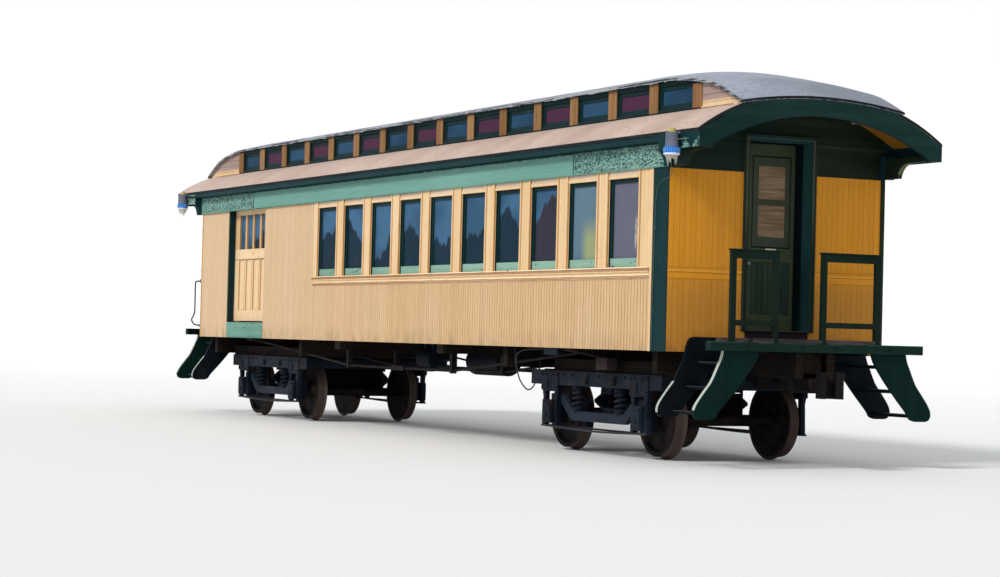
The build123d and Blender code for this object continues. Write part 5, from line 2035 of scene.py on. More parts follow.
@dataclass(frozen=True)
class EndTrim:
    """Belts, corner strips, casing mouldings, frieze strip and threshold of both end walls."""

    belt_rows: tuple[tuple[float, float, float, int], ...] = (
        (0.788, 0.852, 0.003, 3), (0.857, 0.884, 0.009, 0), (0.888, 0.903, 0.003, 3)
    )
    casing_edge: float = 0.465
    casing_top: float = 3.608

    def outward(self, proud: float) -> tuple[float, float]:
        """Span across the front wall's face.

        Args:
            proud: How far the piece stands out.

        Returns:
            The two ends along X.
        """
        return CAR.half_length - 0.002, CAR.half_length + proud

    def belts(self) -> list[Shape]:
        """A band of plain golden board with a bead along it, on each side of the doorway; the bead is gold painted
        lighter as a highlight.

        Returns:
            The belts.
        """
        sides = [(-CAR.half_width + 0.002, -self.casing_edge), (self.casing_edge, CAR.half_width - 0.055)]
        rows = self.belt_rows
        return [
            box_shape(spans(self.outward(proud), sides, (CAR.sill + low, CAR.sill + high)), 0.003, slot)
            for low, high, proud, slot in rows
        ]

    def frames(self) -> list[Shape]:
        """Mouldings on the casing, the frieze's foot strip and the strip at the left corner.

        Returns:
            The mouldings.
        """
        face = CAR.half_length + 0.025
        z = (CAR.floor, self.casing_top - 0.030)
        outer = spans((face - 0.004, face + 0.009), [(-0.465, -0.447), (0.447, 0.465)], z)
        inner = spans((face - 0.004, face + 0.005), [(-0.417, -0.405), (0.405, 0.417)], (CAR.floor, CAR.sill + 2.326))
        top = spans((face - 0.004, face + 0.012), (-0.478, 0.478), (self.casing_top - 0.030, self.casing_top + 0.003))
        head = spans((face - 0.004, face + 0.005), (-0.417, 0.417), (CAR.sill + 2.326, CAR.sill + 2.338))
        strip = spans(self.outward(0.007), [(-CAR.half_width, -0.465), (0.465, CAR.half_width)], (3.190, 3.206))
        corner = spans(self.outward(0.010), (CAR.half_width - 0.052, CAR.half_width + 0.004), (CAR.sill, 3.20))
        frame = box_shape(np.concatenate([outer, inner, top, head]), 0.004, 1)
        return [frame, box_shape(np.concatenate([strip, corner]), 0.003, 2)]

    def threshold(self) -> Shape:
        """Worn board across the foot of the doorway.

        Returns:
            The board.
        """
        return box_shape(
            spans((7.13, CAR.half_length + 0.035), (-0.404, 0.404), (CAR.floor, CAR.floor + 0.012)), 0.004, 4
        )

    def build(self, paints: "NodePaints") -> None:
        """Adds the trim to both end walls.

        Args:
            paints: Materials of the car.
        """
        shapes = mirrored_pair([*self.belts(), *self.frames(), self.threshold()], 0)
        materials = [paints.bead, paints.casing, paints.frieze, paints.gold, paints.tread]
        build_mesh("end_wall_trim", shapes, materials, smooth=30.0)


@dataclass(frozen=True)
class EndDoor:
    """An end door: its frame, the sash with two boarded lights, the boarded panel, hinges and knob."""

    face: float = 7.120
    back: float = 7.075
    half_width: float = 0.397
    low: float = 1.470
    high: float = 3.540
    opening: tuple[float, float] = (-0.160, 0.349)
    stile_groove: float = -0.213
    panel: tuple[float, float] = (1.652, 2.232)
    frame: tuple[float, float] = (2.389, 3.409)
    light: tuple[float, float] = (-0.072, 0.277)
    light_rows: tuple[tuple[float, float], ...] = ((2.508, 2.864), (2.928, 3.298))
    sash_gap: float = 0.013
    panel_boards: int = 6
    hinge_rows: tuple[float, float] = (1.702, 3.122)

    def leaf(self) -> Shape:
        """Core, stiles and rails.

        Returns:
            The boards.
        """
        out = (self.face - 0.023, self.face)
        core = spans((self.back, self.face - 0.022), (-self.half_width, self.half_width), (self.low, self.high))
        edges = [
            (-self.half_width, self.stile_groove - 0.002),
            (self.stile_groove + 0.002, self.opening[0]),
            (self.opening[1], self.half_width),
        ]
        stiles = spans(out, edges, (self.low, self.high))
        rows = [(self.low, self.panel[0]), (self.panel[1], self.frame[0]), (self.frame[1], self.high)]
        rails = spans(out, np.array(self.opening) + np.array([-0.001, 0.001]), rows)
        return box_shape(np.concatenate([core, stiles, rails]), 0.002, 0)

    def sash(self) -> Shape:
        """Frame round the two lights, set into its opening with a dark gap, and a rail across it between the lights.

        Returns:
            The frame.
        """
        gap = self.sash_gap
        y = (self.opening[0] + gap, self.opening[1] - gap)
        z = (self.frame[0] + gap, self.frame[1] - gap)
        out = (self.face - 0.017, self.face - 0.005)
        sides = spans(out, [(y[0], self.light[0]), (self.light[1], y[1])], z)
        (first, second), (third, fourth) = self.light_rows
        bars = spans(out, self.light, [(z[0], first), (second, third), (fourth, z[1])])
        rail = spans((self.face - 0.008, self.face + 0.003), (y[0], y[1] + 0.004), (second + 0.012, second + 0.034))
        return box_shape(np.concatenate([sides, bars, rail]), 0.004, 1)

    def boards(self) -> list[Shape]:
        """Weathered boards in the lights, a near-black sheet behind the sash that paints the shade in its gap, and the
        panel's boards.

        Returns:
            The boards and the ground.
        """
        lights = spans((self.face - 0.023, self.face - 0.014), self.light, self.light_rows)
        # Painted shade: a near-black sheet behind the sash darkens its gap.
        dark = spans((self.face - 0.023, self.face - 0.020), self.opening, self.frame)
        edges = np.linspace(self.opening[0], self.opening[1], self.panel_boards + 1)
        y = np.stack([edges[:-1] + 0.002, edges[1:] - 0.002], axis=1)
        panel = spans((self.face - 0.023, self.face - 0.011), y, self.panel)
        mullion = spans((self.face - 0.012, self.face - 0.002), about(0.095, 0.055), self.panel)
        shapes = [box_shape(lights, 0.001, 2), box_shape(dark, 0.001, 7)]
        return [*shapes, box_shape(panel, 0.006, 3), box_shape(mullion, 0.004, 3)]

    def fittings(self) -> list[Shape]:
        """Pale plate on the middle rail, knob, and hinge barrels with their straps.

        Returns:
            The fittings.
        """
        plate = spans((self.face - 0.001, self.face + 0.005), (0.023, 0.164), (2.358, 2.382))
        knob = [(-0.002, 0.010), (0.018, 0.009), (0.022, 0.018), (0.034, 0.020), (0.042, 0.012)]
        turned = capped(turned_shape(knob, (self.face, -0.205, 2.210), Along.X, 20, 5), len(knob), 20)
        scutcheon = spans((self.face - 0.001, self.face + 0.003), about(-0.205, 0.036), about(2.195, 0.11))
        shapes = [box_shape(plate, 0.002, 4), turned, box_shape(scutcheon, 0.001, 6)]
        for height in self.hinge_rows:
            barrel = [(-0.055, 0.008), (-0.055, 0.012), (0.055, 0.012), (0.055, 0.008)]
            tube = turned_shape(barrel, (7.061, 0.401, height), Along.Z, 16, 6)
            shapes.append(Shape(tube.points, np.concatenate([tube.quads, grid_ring(4, 16)]), slot=6))
            shapes.append(box_shape(spans((7.065, self.back + 0.001), (0.326, 0.393), about(height, 0.110)), 0.002, 6))
        return shapes

    def build(self, paints: "NodePaints") -> None:
        """Adds both doors in place of their nodes.

        Args:
            paints: Materials of the car.
        """
        materials = [paints.olive, paints.sash_olive, paints.ply, paints.panel_green]
        materials += [paints.pale_line, paints.knob, paints.black, paints.painted_shade_dark]
        shapes = [self.leaf(), self.sash(), *self.boards(), *self.fittings()]
        for end, pieces in (("front", shapes), ("rear", [shape.mirrored(0) for shape in shapes])):
            node = f"end_door_{end}"
            build_mesh(f"{node}_leaf", pieces, materials, node, [node], 30.0)


@dataclass(frozen=True)
class BaggageDoorTrim:
    """Battens, rails, pane strips and a thin strip of painted shadow on the baggage doors, thin enough to slide inside
    the wall.
    """

    face: float = 1.287
    sink: float = 0.014
    first: float = -5.85
    pitch: float = 0.310
    pane_width: float = 0.240
    panes: int = 4

    def shapes(self) -> list[Shape]:
        """All pieces on the right door's outer face.

        Returns:
            The surfaces.
        """
        middles = self.first + self.pitch * np.arange(self.panes)
        out = (-self.face - 0.0025, -self.face + 0.002)
        sunk = (-self.face + 0.002, -self.face + self.sink + 0.001)
        reach = (CAR.door_rear - 0.03, CAR.door_front + 0.03)
        sides = np.concatenate([middles - self.pane_width / 2 - 0.006, middles + self.pane_width / 2 + 0.006])
        strips = spans(about(sides, 0.016), out, (2.600, 3.136))
        ledge = spans(reach, out, (2.582, 2.600))
        # Painted shadow: a thin brown strip along the top of the sunk panel.
        rail = spans(reach, out, (2.436, 2.448))
        battens = spans(about(sides, 0.020), out, (1.652, 2.436))
        boards = spans(about(middles, self.pane_width - 0.03), (sunk[1] - 0.006, sunk[1]), (1.66, 2.43))
        return [
            box_shape(np.concatenate([strips, battens]), 0.001, 1),
            box_shape(np.concatenate([ledge, boards]), 0.001, 0),
            box_shape(rail, 0.001, 2),
        ]

    def build(self, paints: "NodePaints") -> None:
        """Adds the trim to both doors.

        Args:
            paints: Materials of the car.
        """
        materials = [paints.cream, paints.worn, paints.shadow_line]
        shapes = self.shapes()
        build_mesh("baggage_door_trim_right", shapes, materials, "baggage_door_right", smooth=30.0)
        mirrored = [shape.mirrored(1) for shape in shapes]
        build_mesh("baggage_door_trim_left", mirrored, materials, "baggage_door_left", smooth=30.0)


@dataclass(frozen=True)
class PlatformTrim:
    """Caps of the guard rails, and bolt heads on the end beams and at the guard posts."""

    guard_face: float = 8.250
    guard_back: float = 8.200
    guard_top: float = 2.302
    sections: tuple[tuple[float, float], ...] = ((-1.106, -0.515), (0.030, 0.780))
    beam_face: float = 8.260

    def caps(self) -> Shape:
        """Flat caps on the guard rails.

        Returns:
            The caps.
        """
        y = np.array(self.sections) + np.array([-0.012, 0.012])
        return box_shape(
            spans(
                (self.guard_back - 0.012, self.guard_face + 0.009), y, (self.guard_top - 0.002, self.guard_top + 0.014)
            ),
            0.004,
            0,
        )

    def bolts(self) -> Shape:
        """Square bolt heads on the end beam and at the guard posts, painted over.

        Returns:
            The heads.
        """
        y = np.array([-0.90, -0.21, 0.21, 0.90])
        heads = spans((self.beam_face - 0.002, self.beam_face + 0.012), about(y, 0.024), about(1.295, 0.024))
        posts = np.array([-1.076, -0.545, 0.060, 0.750])
        rail = spans((self.guard_face - 0.002, self.guard_face + 0.006), about(posts, 0.018), about(2.262, 0.018))
        low = spans((self.guard_face - 0.002, self.guard_face + 0.006), about(posts, 0.018), about(1.542, 0.018))
        return box_shape(np.concatenate([heads, rail, low]), 0.003, 0)

    def build(self, paints: "NodePaints") -> None:
        """Adds the pieces to both platforms.

        Args:
            paints: Materials of the car.
        """
        shapes = mirrored_pair([self.caps(), self.bolts()], 0)
        build_mesh("platform_trim", shapes, [paints.guard], smooth=30.0)


@dataclass(frozen=True)
class Steps:
    """Steps at the four corners: two leaning side boards with rounded feet, and three treads."""

    outer_x: tuple[float, float] = (8.170, 8.210)
    inner_x: tuple[float, float] = (7.420, 7.460)
    top: float = 1.385
    beam_low: float = 1.246
    front_edge: tuple[tuple[float, float], ...] = (
        (-1.123, 1.354),
        (-1.152, 1.282),
        (-1.178, 1.174),
        (-1.222, 1.077),
        (-1.297, 0.922),
        (-1.373, 0.823),
        (-1.453, 0.718),
        (-1.498, 0.640),
        (-1.503, 0.575),
        (-1.475, 0.534),
        (-1.427, 0.521),
    )
    back_edge: tuple[tuple[float, float], ...] = (
        (-0.716, 1.300),
        (-0.720, 1.246),
        (-0.747, 1.162),
        (-0.863, 0.993),
        (-1.042, 0.781),
        (-1.196, 0.612),
        (-1.240, 0.545),
        (-1.310, 0.521),
    )
    tread_tops: tuple[float, float, float] = (1.123, 0.861, 0.599)
    tread_inset: float = 0.190
    tread_thickness: float = 0.035

    def edge(self, points: Sequence[Sequence[float]], high: float, count: int = 36) -> np.ndarray:
        """Smooth line through the points of an edge, from a given height down.

        Args:
            points: Rows of Y and Z, downwards.
            high: Height where the line starts.
            count: Number of points of the line.

        Returns:
            Rows of Y and Z.
        """
        line = smooth_path(points, 10)
        line = line[line[:, 1] <= high + 1e-6]
        length = np.concatenate([[0.0], np.cumsum(np.linalg.norm(np.diff(line, axis=0), axis=1))])
        places = np.linspace(0.0, length[-1], count)
        return np.stack([np.interp(places, length, line[:, axis]) for axis in (0, 1)], axis=1)

    def outer_board(self) -> list[Shape]:
        """Board under the end beam, with a pale worn line down its front edge.

        Returns:
            The board and the line.
        """
        front = self.edge(self.front_edge, self.beam_low)
        back = self.edge(self.back_edge, self.beam_low)
        front[0, 1] = back[0, 1] = self.beam_low
        along = np.gradient(front, axis=0)
        across = np.stack([-along[:, 1], along[:, 0]], axis=1) / np.linalg.norm(along, axis=1, keepdims=True)
        line = ribbon_shape(
            front[:30] + 0.004 * across[:30],
            front[:30] - 0.002 * across[:30],
            (self.outer_x[0] - 0.001, self.outer_x[1] + 0.001),
            2,
        )
        return [ribbon_shape(front, back, self.outer_x, 0), line]

    def inner_board(self) -> list[Shape]:
        """Board against the body: it goes up to the platform with a rounded shoulder.

        Returns:
            The board, near-black as painted shade, and the pale line at its foot, partly wear and partly painted
            highlight.
        """
        shoulder = [(-0.960, self.top), (-1.040, self.top), (-1.095, self.top - 0.008)]
        front = self.edge([*shoulder, *self.front_edge], self.top)
        back = self.edge([(-0.716, self.top), *self.back_edge], self.top)
        line = front[20:33]
        along = np.gradient(line, axis=0)
        across = np.stack([-along[:, 1], along[:, 0]], axis=1) / np.linalg.norm(along, axis=1, keepdims=True)
        worn = ribbon_shape(
            line + 0.0035 * across, line - 0.0015 * across, (self.inner_x[0] + 0.004, self.inner_x[1] + 0.001), 2
        )
        return [ribbon_shape(front, back, self.inner_x, 1), worn]

    def treads(self) -> list[Shape]:
        """Three treads set back between the boards, near-black as painted shade, with thin worn nosings.

        Returns:
            The treads and their nosings.
        """
        tops = np.array(self.tread_tops)
        places = [
            np.interp(tops, *self.edge(points, self.top)[::-1, ::-1].T) for points in (self.front_edge, self.back_edge)
        ]
        y = np.stack([places[0] + self.tread_inset, places[1] - 0.010], axis=1)
        x = (self.inner_x[1] - 0.001, self.outer_x[0] + 0.001)
        boards = spans(x, y, np.stack([tops - self.tread_thickness, tops], axis=1))
        front = np.stack([y[:, 0] - 0.004, y[:, 0] + 0.004], axis=1)
        nosings = spans(x, front, np.stack([tops - 0.014, tops + 0.002], axis=1))
        return [box_shape(boards, 0.004, 1), box_shape(nosings, 0.002, 3)]

    def build(self, paints: "NodePaints") -> None:
        """Adds the steps in place of their node.

        Args:
            paints: Materials of the car.
        """
        corner = [*self.outer_board(), *self.inner_board(), *self.treads()]
        shapes = mirrored_pair(mirrored_pair(corner, 1), 0)
        materials = [paints.step_green, paints.painted_shade_dark, paints.pale_edge, paints.dull_edge]
        build_mesh("leaning_steps", shapes, materials, replaces=["steps"], smooth=30.0)


@dataclass(frozen=True)
class Lamps:
    """The two lamps at the eaves: cap, grey cylinder, blue ring, white band and broken glass."""

    plane: float = -1.621
    top: float = 3.572
    places: tuple[float, float] = (7.830, -7.800)
    steps: int = 48
    cap: tuple[tuple[float, float], ...] = ((0.000, 0.028), (0.006, 0.036), (0.048, 0.039), (0.052, 0.054))
    neck: tuple[tuple[float, float], ...] = (
        (0.046, 0.058),
        (0.054, 0.068),
        (0.128, 0.069),
        (0.134, 0.0675),
        (0.140, 0.069),
        (0.188, 0.071),
        (0.210, 0.080),
    )
    ring: tuple[tuple[float, float], ...] = ((0.200, 0.074), (0.208, 0.085), (0.262, 0.087), (0.266, 0.080))
    band: tuple[tuple[float, float], ...] = ((0.262, 0.078), (0.266, 0.086), (0.282, 0.0865), (0.290, 0.070))

    def turned(self, place: float, rows: Sequence[Sequence[float]], slot: int) -> Shape:
        """A turned part of the lamp.

        Args:
            place: The lamp's X.
            rows: Rows of the drop below the top and the radius, downwards.
            slot: Material slot.

        Returns:
            The closed surface.
        """
        profile = [(0.0 - drop, radius) for drop, radius in rows][::-1]
        shape = turned_shape(profile, (place, self.plane, self.top), Along.Z, self.steps, slot)
        return capped(shape, len(profile), self.steps)

    def ribs(self, place: float) -> Shape:
        """Fine pale ribs round the blue ring.

        Args:
            place: The lamp's X.

        Returns:
            The ribs.
        """
        turn = np.linspace(0.0, 2 * np.pi, 24, endpoint=False)
        x, y = place + 0.0860 * np.cos(turn), self.plane + 0.0860 * np.sin(turn)
        z = (self.top - 0.260, self.top - 0.212)
        return box_shape(spans(about(x, 0.0034), np.clip(about(y, 0.0034), -1.715, 0.0), z), 0.001, 5)

    def shards(self, place: float, seed: int) -> Shape:
        """Broken glass below the ring: a thin cone whose lower edge is jagged.

        Args:
            place: The lamp's X.
            seed: Start of the random numbers.

        Returns:
            The closed shell.
        """
        turn = np.linspace(0.0, 2 * np.pi, self.steps, endpoint=False)
        jag = np.repeat(np.random.default_rng(seed).uniform(0.0, 1.0, self.steps // 4), 4)
        low = 0.305 + 0.105 * jag * (0.4 + 0.6 * np.abs(np.sin(turn * 6)))
        rows = []
        for radius, drop in (
            (0.068, 0.285), (0.068 - 0.14 * (low - 0.285), low), (0.066 - 0.14 * (low - 0.285), low), (0.066, 0.285)
        ):
            size = np.broadcast_to(radius, turn.shape)
            along, across = place + size * np.cos(turn), self.plane + size * np.sin(turn)
            rows.append(np.stack([along, across, np.broadcast_to(self.top - drop, turn.shape)], axis=-1))
        return grid_shape(np.array(rows)[::-1], True, 3, True)

    def bracket(self, place: float) -> list[Shape]:
        """Arm from the eave to the lamp's neck, and the thin rod that steadies it from the bow.

        Args:
            place: The lamp's X.

        Returns:
            The pieces.
        """
        arm = smooth_path(
            [(place, -1.545, 3.527), (place, -1.575, 3.532), (place, -1.600, 3.512), (place, -1.618, 3.46)], 6
        )
        foot = spans(about(place, 0.09), (-1.556, -1.544), about(3.527, 0.03))
        side = math.copysign(1.0, place)
        rod = [
            (place + side * 0.06, -1.60, 3.452),
            (place + side * 0.14, -1.58, 3.450),
            (place + side * 0.22, -1.548, 3.456),
        ]
        pieces = [swept_shape(np.array(rod), circle(0.005, 10), slot=0), box_shape(foot, 0.002, 0)]
        return [swept_shape(arm, circle(0.012), (1, 0, 0), slot=0), *pieces]

    def build(self, paints: "NodePaints") -> None:
        """Adds the lamps in place of their node.

        Args:
            paints: Materials of the car.
        """
        shapes = []
        for seed, place in enumerate(self.places):
            for slot, rows in ((0, self.neck), (1, self.cap), (2, self.ring), (4, self.band)):
                shapes.append(self.turned(place, rows, slot))
            shapes += [self.ribs(place), self.shards(place, seed + 5), *self.bracket(place)]
        materials = [paints.lamp_grey, paints.tan, paints.blue, paints.clear, paints.white, paints.pale_blue]
        build_mesh("eave_lamps", shapes, materials, replaces=["lamps"])


@dataclass(frozen=True)
class Wires:
    """The front lamp's wire, the conduit of the rear one and the grab irons at the rear corners."""

    wire: tuple[tuple[float, float, float], ...] = (
        (7.830, -1.621, 3.290),
        (7.790, -1.600, 3.200),
        (7.640, -1.500, 3.130),
        (7.460, -1.414, 3.090),
        (7.284, -1.411, 3.045),
        (7.196, -1.411, 2.970),
        (7.168, -1.411, 2.850),
        (7.160, -1.411, 2.650),
        (7.150, -1.411, 2.400),
        (7.140, -1.411, 1.800),
        (7.135, -1.411, 1.240),
    )
    conduit: tuple[tuple[float, float, float], ...] = (
        (-7.780, -1.600, 3.470),
        (-7.700, -1.585, 3.480),
        (-7.560, -1.562, 3.475),
        (-7.400, -1.558, 3.470),
    )
    grab: tuple[tuple[float, float, float], ...] = (
        (-7.462, -1.395, 2.118),
        (-7.462, -1.450, 2.112),
        (-7.462, -1.480, 2.085),
        (-7.462, -1.482, 1.900),
        (-7.462, -1.482, 1.640),
        (-7.462, -1.500, 1.560),
        (-7.462, -1.530, 1.490),
        (-7.462, -1.490, 1.420),
        (-7.440, -1.410, 1.400),
    )

    def build(self, paints: "NodePaints") -> None:
        """Adds the pieces.

        Args:
            paints: Materials of the car.
        """
        wire = swept_shape(smooth_path(self.wire, 10), circle(0.0036, 8), (1, 0.2, 0))
        clips = spans(about([7.160, 7.145, 7.138], 0.018), (-1.417, -1.406), about([2.55, 2.10, 1.65], 0.02))
        build_mesh(
            "lamp_wire_run", [wire, box_shape(clips, 0.001)], [paints.wire], replaces=["lamp_wire"]
        )
        conduit = swept_shape(smooth_path(self.conduit, 8), circle(0.014, 12))
        grab = swept_shape(smooth_path(self.grab, 8), circle(0.011, 12), (1, 0, 0))
        foot = box_shape(spans((-7.475, -7.449), (-1.402, -1.395), [(2.09, 2.15), (1.375, 1.425)]), 0.002)
        shapes = [conduit, *mirrored_pair([grab, foot], 1)]
        build_mesh("grab_irons", shapes, [paints.black])


@dataclass(frozen=True)
class Underbody:
    """Cross timbers, draft sills, boards, the train pipe, a hanging loop, a hose and a small box under the floor."""

    timber_places: tuple[float, ...] = (3.36, 6.98)
    timber_width: float = 0.11
    timber_low: float = 0.972
    timber_half: float = 1.270
    plate_reach: tuple[float, float] = (4.10, 6.90)
    plate_sides: tuple[tuple[float, float], ...] = ((-0.98, -0.86), (0.86, 0.98))
    plate_span: tuple[float, float] = (0.947, 1.095)
    draft_reach: tuple[float, float] = (7.45, 8.19)
    draft_sides: tuple[tuple[float, float], ...] = ((-0.24, -0.15), (0.15, 0.24))
    draft_span: tuple[float, float] = (0.965, 1.24)
    chest: tuple[tuple[float, float], ...] = ((7.62, 8.10), (-0.15, 0.15), (1.02, 1.24))
    box: tuple[tuple[float, float], ...] = ((5.52, 5.78), (-1.200, -1.06), (0.985, 1.125))
    pipe_radius: float = 0.021
    pipe: tuple[Colour, ...] = ((-7.35, 0.52, 1.05), (-3.0, 0.50, 1.10), (3.0, 0.50, 1.10), (7.35, 0.52, 1.05))
    cable_radius: float = 0.009
    loop: tuple[Colour, ...] = (
        (3.48, -1.199, 1.21),
        (3.48, -1.188, 1.05),
        (3.48, -1.156, 0.91),
        (3.48, -1.105, 0.789),
        (3.48, -1.013, 0.699),
        (3.48, -0.94, 0.733),
        (3.48, -0.887, 0.841),
        (3.48, -0.849, 0.989),
        (3.48, -0.827, 1.20),
    )
    hose: tuple[Colour, ...] = (
        (3.600, -1.24, 1.00),
        (3.646, -1.25, 1.131),
        (3.85, -1.25, 1.185),
        (4.18, -1.25, 1.200),
        (4.62, -1.24, 1.214),
    )

    def plates(self) -> Shape:
        """Thin dark boards lengthwise above a truck, on both sides of its centre plate, that also stand in for the
        shade under the floor there.

        Returns:
            The boards.
        """
        return box_shape(spans(self.plate_reach, list(self.plate_sides), self.plate_span), 0.003, 0)

    def cables(self) -> list[Shape]:
        """The hanging loop and the hose, each a round section carried along its curve.

        Returns:
            The surfaces.
        """
        section = circle(self.cable_radius, 8)
        runs = ((self.loop, (1, 0, 0)), (self.hose, (0, 1, 0)))
        return [swept_shape(smooth_path(list(path), 8), section, axis, slot=2) for path, axis in runs]

    def build(self, paints: "NodePaints") -> None:
        """Adds the pieces.

        Args:
            paints: Materials of the car.
        """
        across = (-self.timber_half, self.timber_half)
        timbers = spans(about(self.timber_places, self.timber_width), across, (self.timber_low, CAR.sill + 0.01))
        pipe = swept_shape(np.array(self.pipe), circle(self.pipe_radius, 12), slot=1)
        box = box_shape(spans(*self.box), 0.006, 3)
        draft = spans(self.draft_reach, list(self.draft_sides), self.draft_span)
        ends = box_shape(np.concatenate([timbers, draft, spans(*self.chest)]), 0.004, 0)
        shapes = [*mirrored_pair([ends, self.plates()], 0), pipe, *self.cables(), box]
        coats = [paints.oak, paints.iron, paints.rod_iron, paints.brown]
        build_mesh("underbody_gear", shapes, coats)


@dataclass(frozen=True)
class Truck:
    """Real coils and leaves in place of a truck's plain springs, and the fittings of its frame."""

    end: str
    centre: float
    coil_radius: float = 0.063
    wire: float = 0.0180
    turns: float = 5.4
    coil_low: float = 0.482
    coil_high: float = 0.780
    coil_plane: float = 0.958
    coil_x: float = 0.500
    leaf_plane: float = 0.765
    leaf_width: float = 0.128
    leaf_count: int = 4
    leaf_thickness: float = 0.0082
    leaf_middle: float = 0.615
    leaf_half_height: float = 0.125
    leaf_half_span: float = 0.390
    frame_face: float = -1.050
    axle_reach: float = 1.067
    plank_half: float = 0.690

    def coil(self) -> Shape:
        """One coil spring: a round wire wound upwards, with a flat turn at both ends.

        Returns:
            The closed surface, about the origin.
        """
        turn = np.linspace(0.0, 1.0, int(self.turns * 22) + 1)
        low, high = self.coil_low + self.wire, self.coil_high - self.wire
        rise = np.clip((turn * self.turns - 0.6) / (self.turns - 1.2), 0.0, 1.0)
        angle = turn * self.turns * 2 * np.pi
        path = np.stack(
            [self.coil_radius * np.cos(angle), self.coil_radius * np.sin(angle), low + (high - low) * rise], axis=1
        )
        return swept_shape(path, circle(self.wire, 10))

    def coils(self) -> list[Shape]:
        """The four coil springs with an inner tube, a seat and a cup each.

        Returns:
            The surfaces.
        """
        coil = self.coil()
        low, high = self.coil_low, self.coil_high
        core = [(low, 0.018), (low, 0.034), (high, 0.034), (high, 0.018)]
        seat = [(low, 0.040), (low, 0.072), (low + 0.016, 0.072), (low + 0.016, 0.040)]
        cup = [(high - 0.045, 0.040), (high - 0.045, 0.070), (high - 0.004, 0.066), (high, 0.040)]
        shapes = []
        for x in (-self.coil_x, self.coil_x):
            for y in (-self.coil_plane, self.coil_plane):
                shapes.append(coil.moved(self.centre + x, y))
                for profile in (core, seat, cup):
                    shapes.append(capped(turned_shape(profile, (self.centre + x, y, 0.0), Along.Z, 24), 4, 24))
        return shapes

    def leaves(self) -> list[Shape]:
        """The stacked leaves of both elliptic springs: arcs that get shorter away from the middle.

        Returns:
            The surfaces.
        """
        middle, half_height, half_span = self.leaf_middle, self.leaf_half_height, self.leaf_half_span
        shapes = []
        for index in range(self.leaf_count):
            share = index / (self.leaf_count - 1)
            reach = half_span - 0.03 - 0.17 * share
            x = np.linspace(-reach, reach, 25)
            depth = half_height - 0.034 + (index + 0.5) * self.leaf_thickness
            radius = (half_span**2 + depth**2) / (2 * depth)
            z = radius - depth - np.sqrt(radius**2 - x**2)
            half = self.leaf_width / 2
            section = np.array([(-half, -0.0038), (half, -0.0038), (half, 0.0038), (-half, 0.0038)])
            for side in (-self.leaf_plane, self.leaf_plane):
                for sign in (1, -1):
                    path = np.stack([self.centre + x, np.full(25, side), middle + sign * z], axis=1)
                    shapes.append(swept_shape(path, section))
        for side in (-self.leaf_plane, self.leaf_plane):
            clips = spans(about(self.centre, 0.10), about(side, 0.150), [(0.4905, 0.535), (0.695, 0.7395)])
            ends = spans(about([self.centre - 0.36, self.centre + 0.36], 0.04), about(side, 0.128), about(middle, 0.05))
            shapes += [box_shape(clips, 0.004), box_shape(ends, 0.012)]
        return shapes

    def fittings(self) -> list[Shape]:
        """Bosses, bolt heads, pedestal plates with their windows, lid hinges and brake rods.

        Returns:
            The surfaces of the right side, to be mirrored.
        """
        face = self.frame_face
        shapes = []
        for x in (-0.162, 0.487):
            boss = [(face - 0.030, 0.018), (face - 0.030, 0.030), (face - 0.020, 0.040), (face + 0.002, 0.042)]
            shapes.append(capped(turned_shape(boss, (self.centre + x, 0.0, 0.848), Along.Y, 24, 1), 4, 24))
        axles = self.centre + np.array([-self.axle_reach, self.axle_reach])
        for axle in axles:
            frame_x = [
                (axle - 0.21, axle - 0.055),
                (axle + 0.055, axle + 0.21),
                (axle - 0.055, axle + 0.055),
                (axle - 0.055, axle + 0.055),
            ]
            frame_z = [(0.715, 0.935), (0.715, 0.935), (0.715, 0.745), (0.855, 0.935)]
            shapes.append(box_shape(spans(frame_x, (face - 0.012, face + 0.002), frame_z), 0.004))
            shapes.append(box_shape(spans(about(axle, 0.10), (face + 0.004, face + 0.010), (0.745, 0.855)), 0.001, 1))
            bolt_x = axle + np.array([-0.18, -0.18, 0.18, 0.18, -0.09, 0.09])
            bolt_z = np.array([0.75, 0.90, 0.75, 0.90, 0.90, 0.90])
            shapes.append(
                box_shape(spans(about(bolt_x, 0.026), (face - 0.024, face - 0.010), about(bolt_z, 0.026)), 0.005)
            )
            shapes.append(box_shape(spans(about(axle, 0.16), (face - 0.062, face - 0.045), about(0.560, 0.030)), 0.006))
            shapes.append(box_shape(spans(about(axle, 0.04), (face - 0.066, face - 0.050), about(0.420, 0.05)), 0.008))
        rod = smooth_path(
            [
                (self.centre - 1.25, face - 0.006, 0.292),
                (self.centre, face - 0.006, 0.268),
                (self.centre + 1.25, face - 0.006, 0.292),
            ],
            12,
        )
        shapes.append(swept_shape(rod, circle(0.012, 10), slot=2))
        rail_bolts = self.centre + np.array([-0.72, -0.52, -0.12, 0.12, 0.52, 0.72])
        shapes.append(
            box_shape(spans(about(rail_bolts, 0.028), (face - 0.014, face + 0.002), about(0.905, 0.028)), 0.005)
        )
        return shapes

    def planks(self) -> list[Shape]:
        """Dark cross planks beside the bolster and inside the wheels, which close the view through the truck and stand
        in for the shade there.

        Returns:
            The planks.
        """
        across = (-self.plank_half, self.plank_half)
        deep = spans(
            [(self.centre - 0.300, self.centre - 0.245), (self.centre + 0.245, self.centre + 0.300)],
            across,
            (0.500, 0.900),
        )
        low = spans(
            [(self.centre - 0.470, self.centre - 0.410), (self.centre + 0.410, self.centre + 0.470)],
            across,
            (0.480, 0.740),
        )
        return [box_shape(np.concatenate([deep, low]), 0.004, 1)]

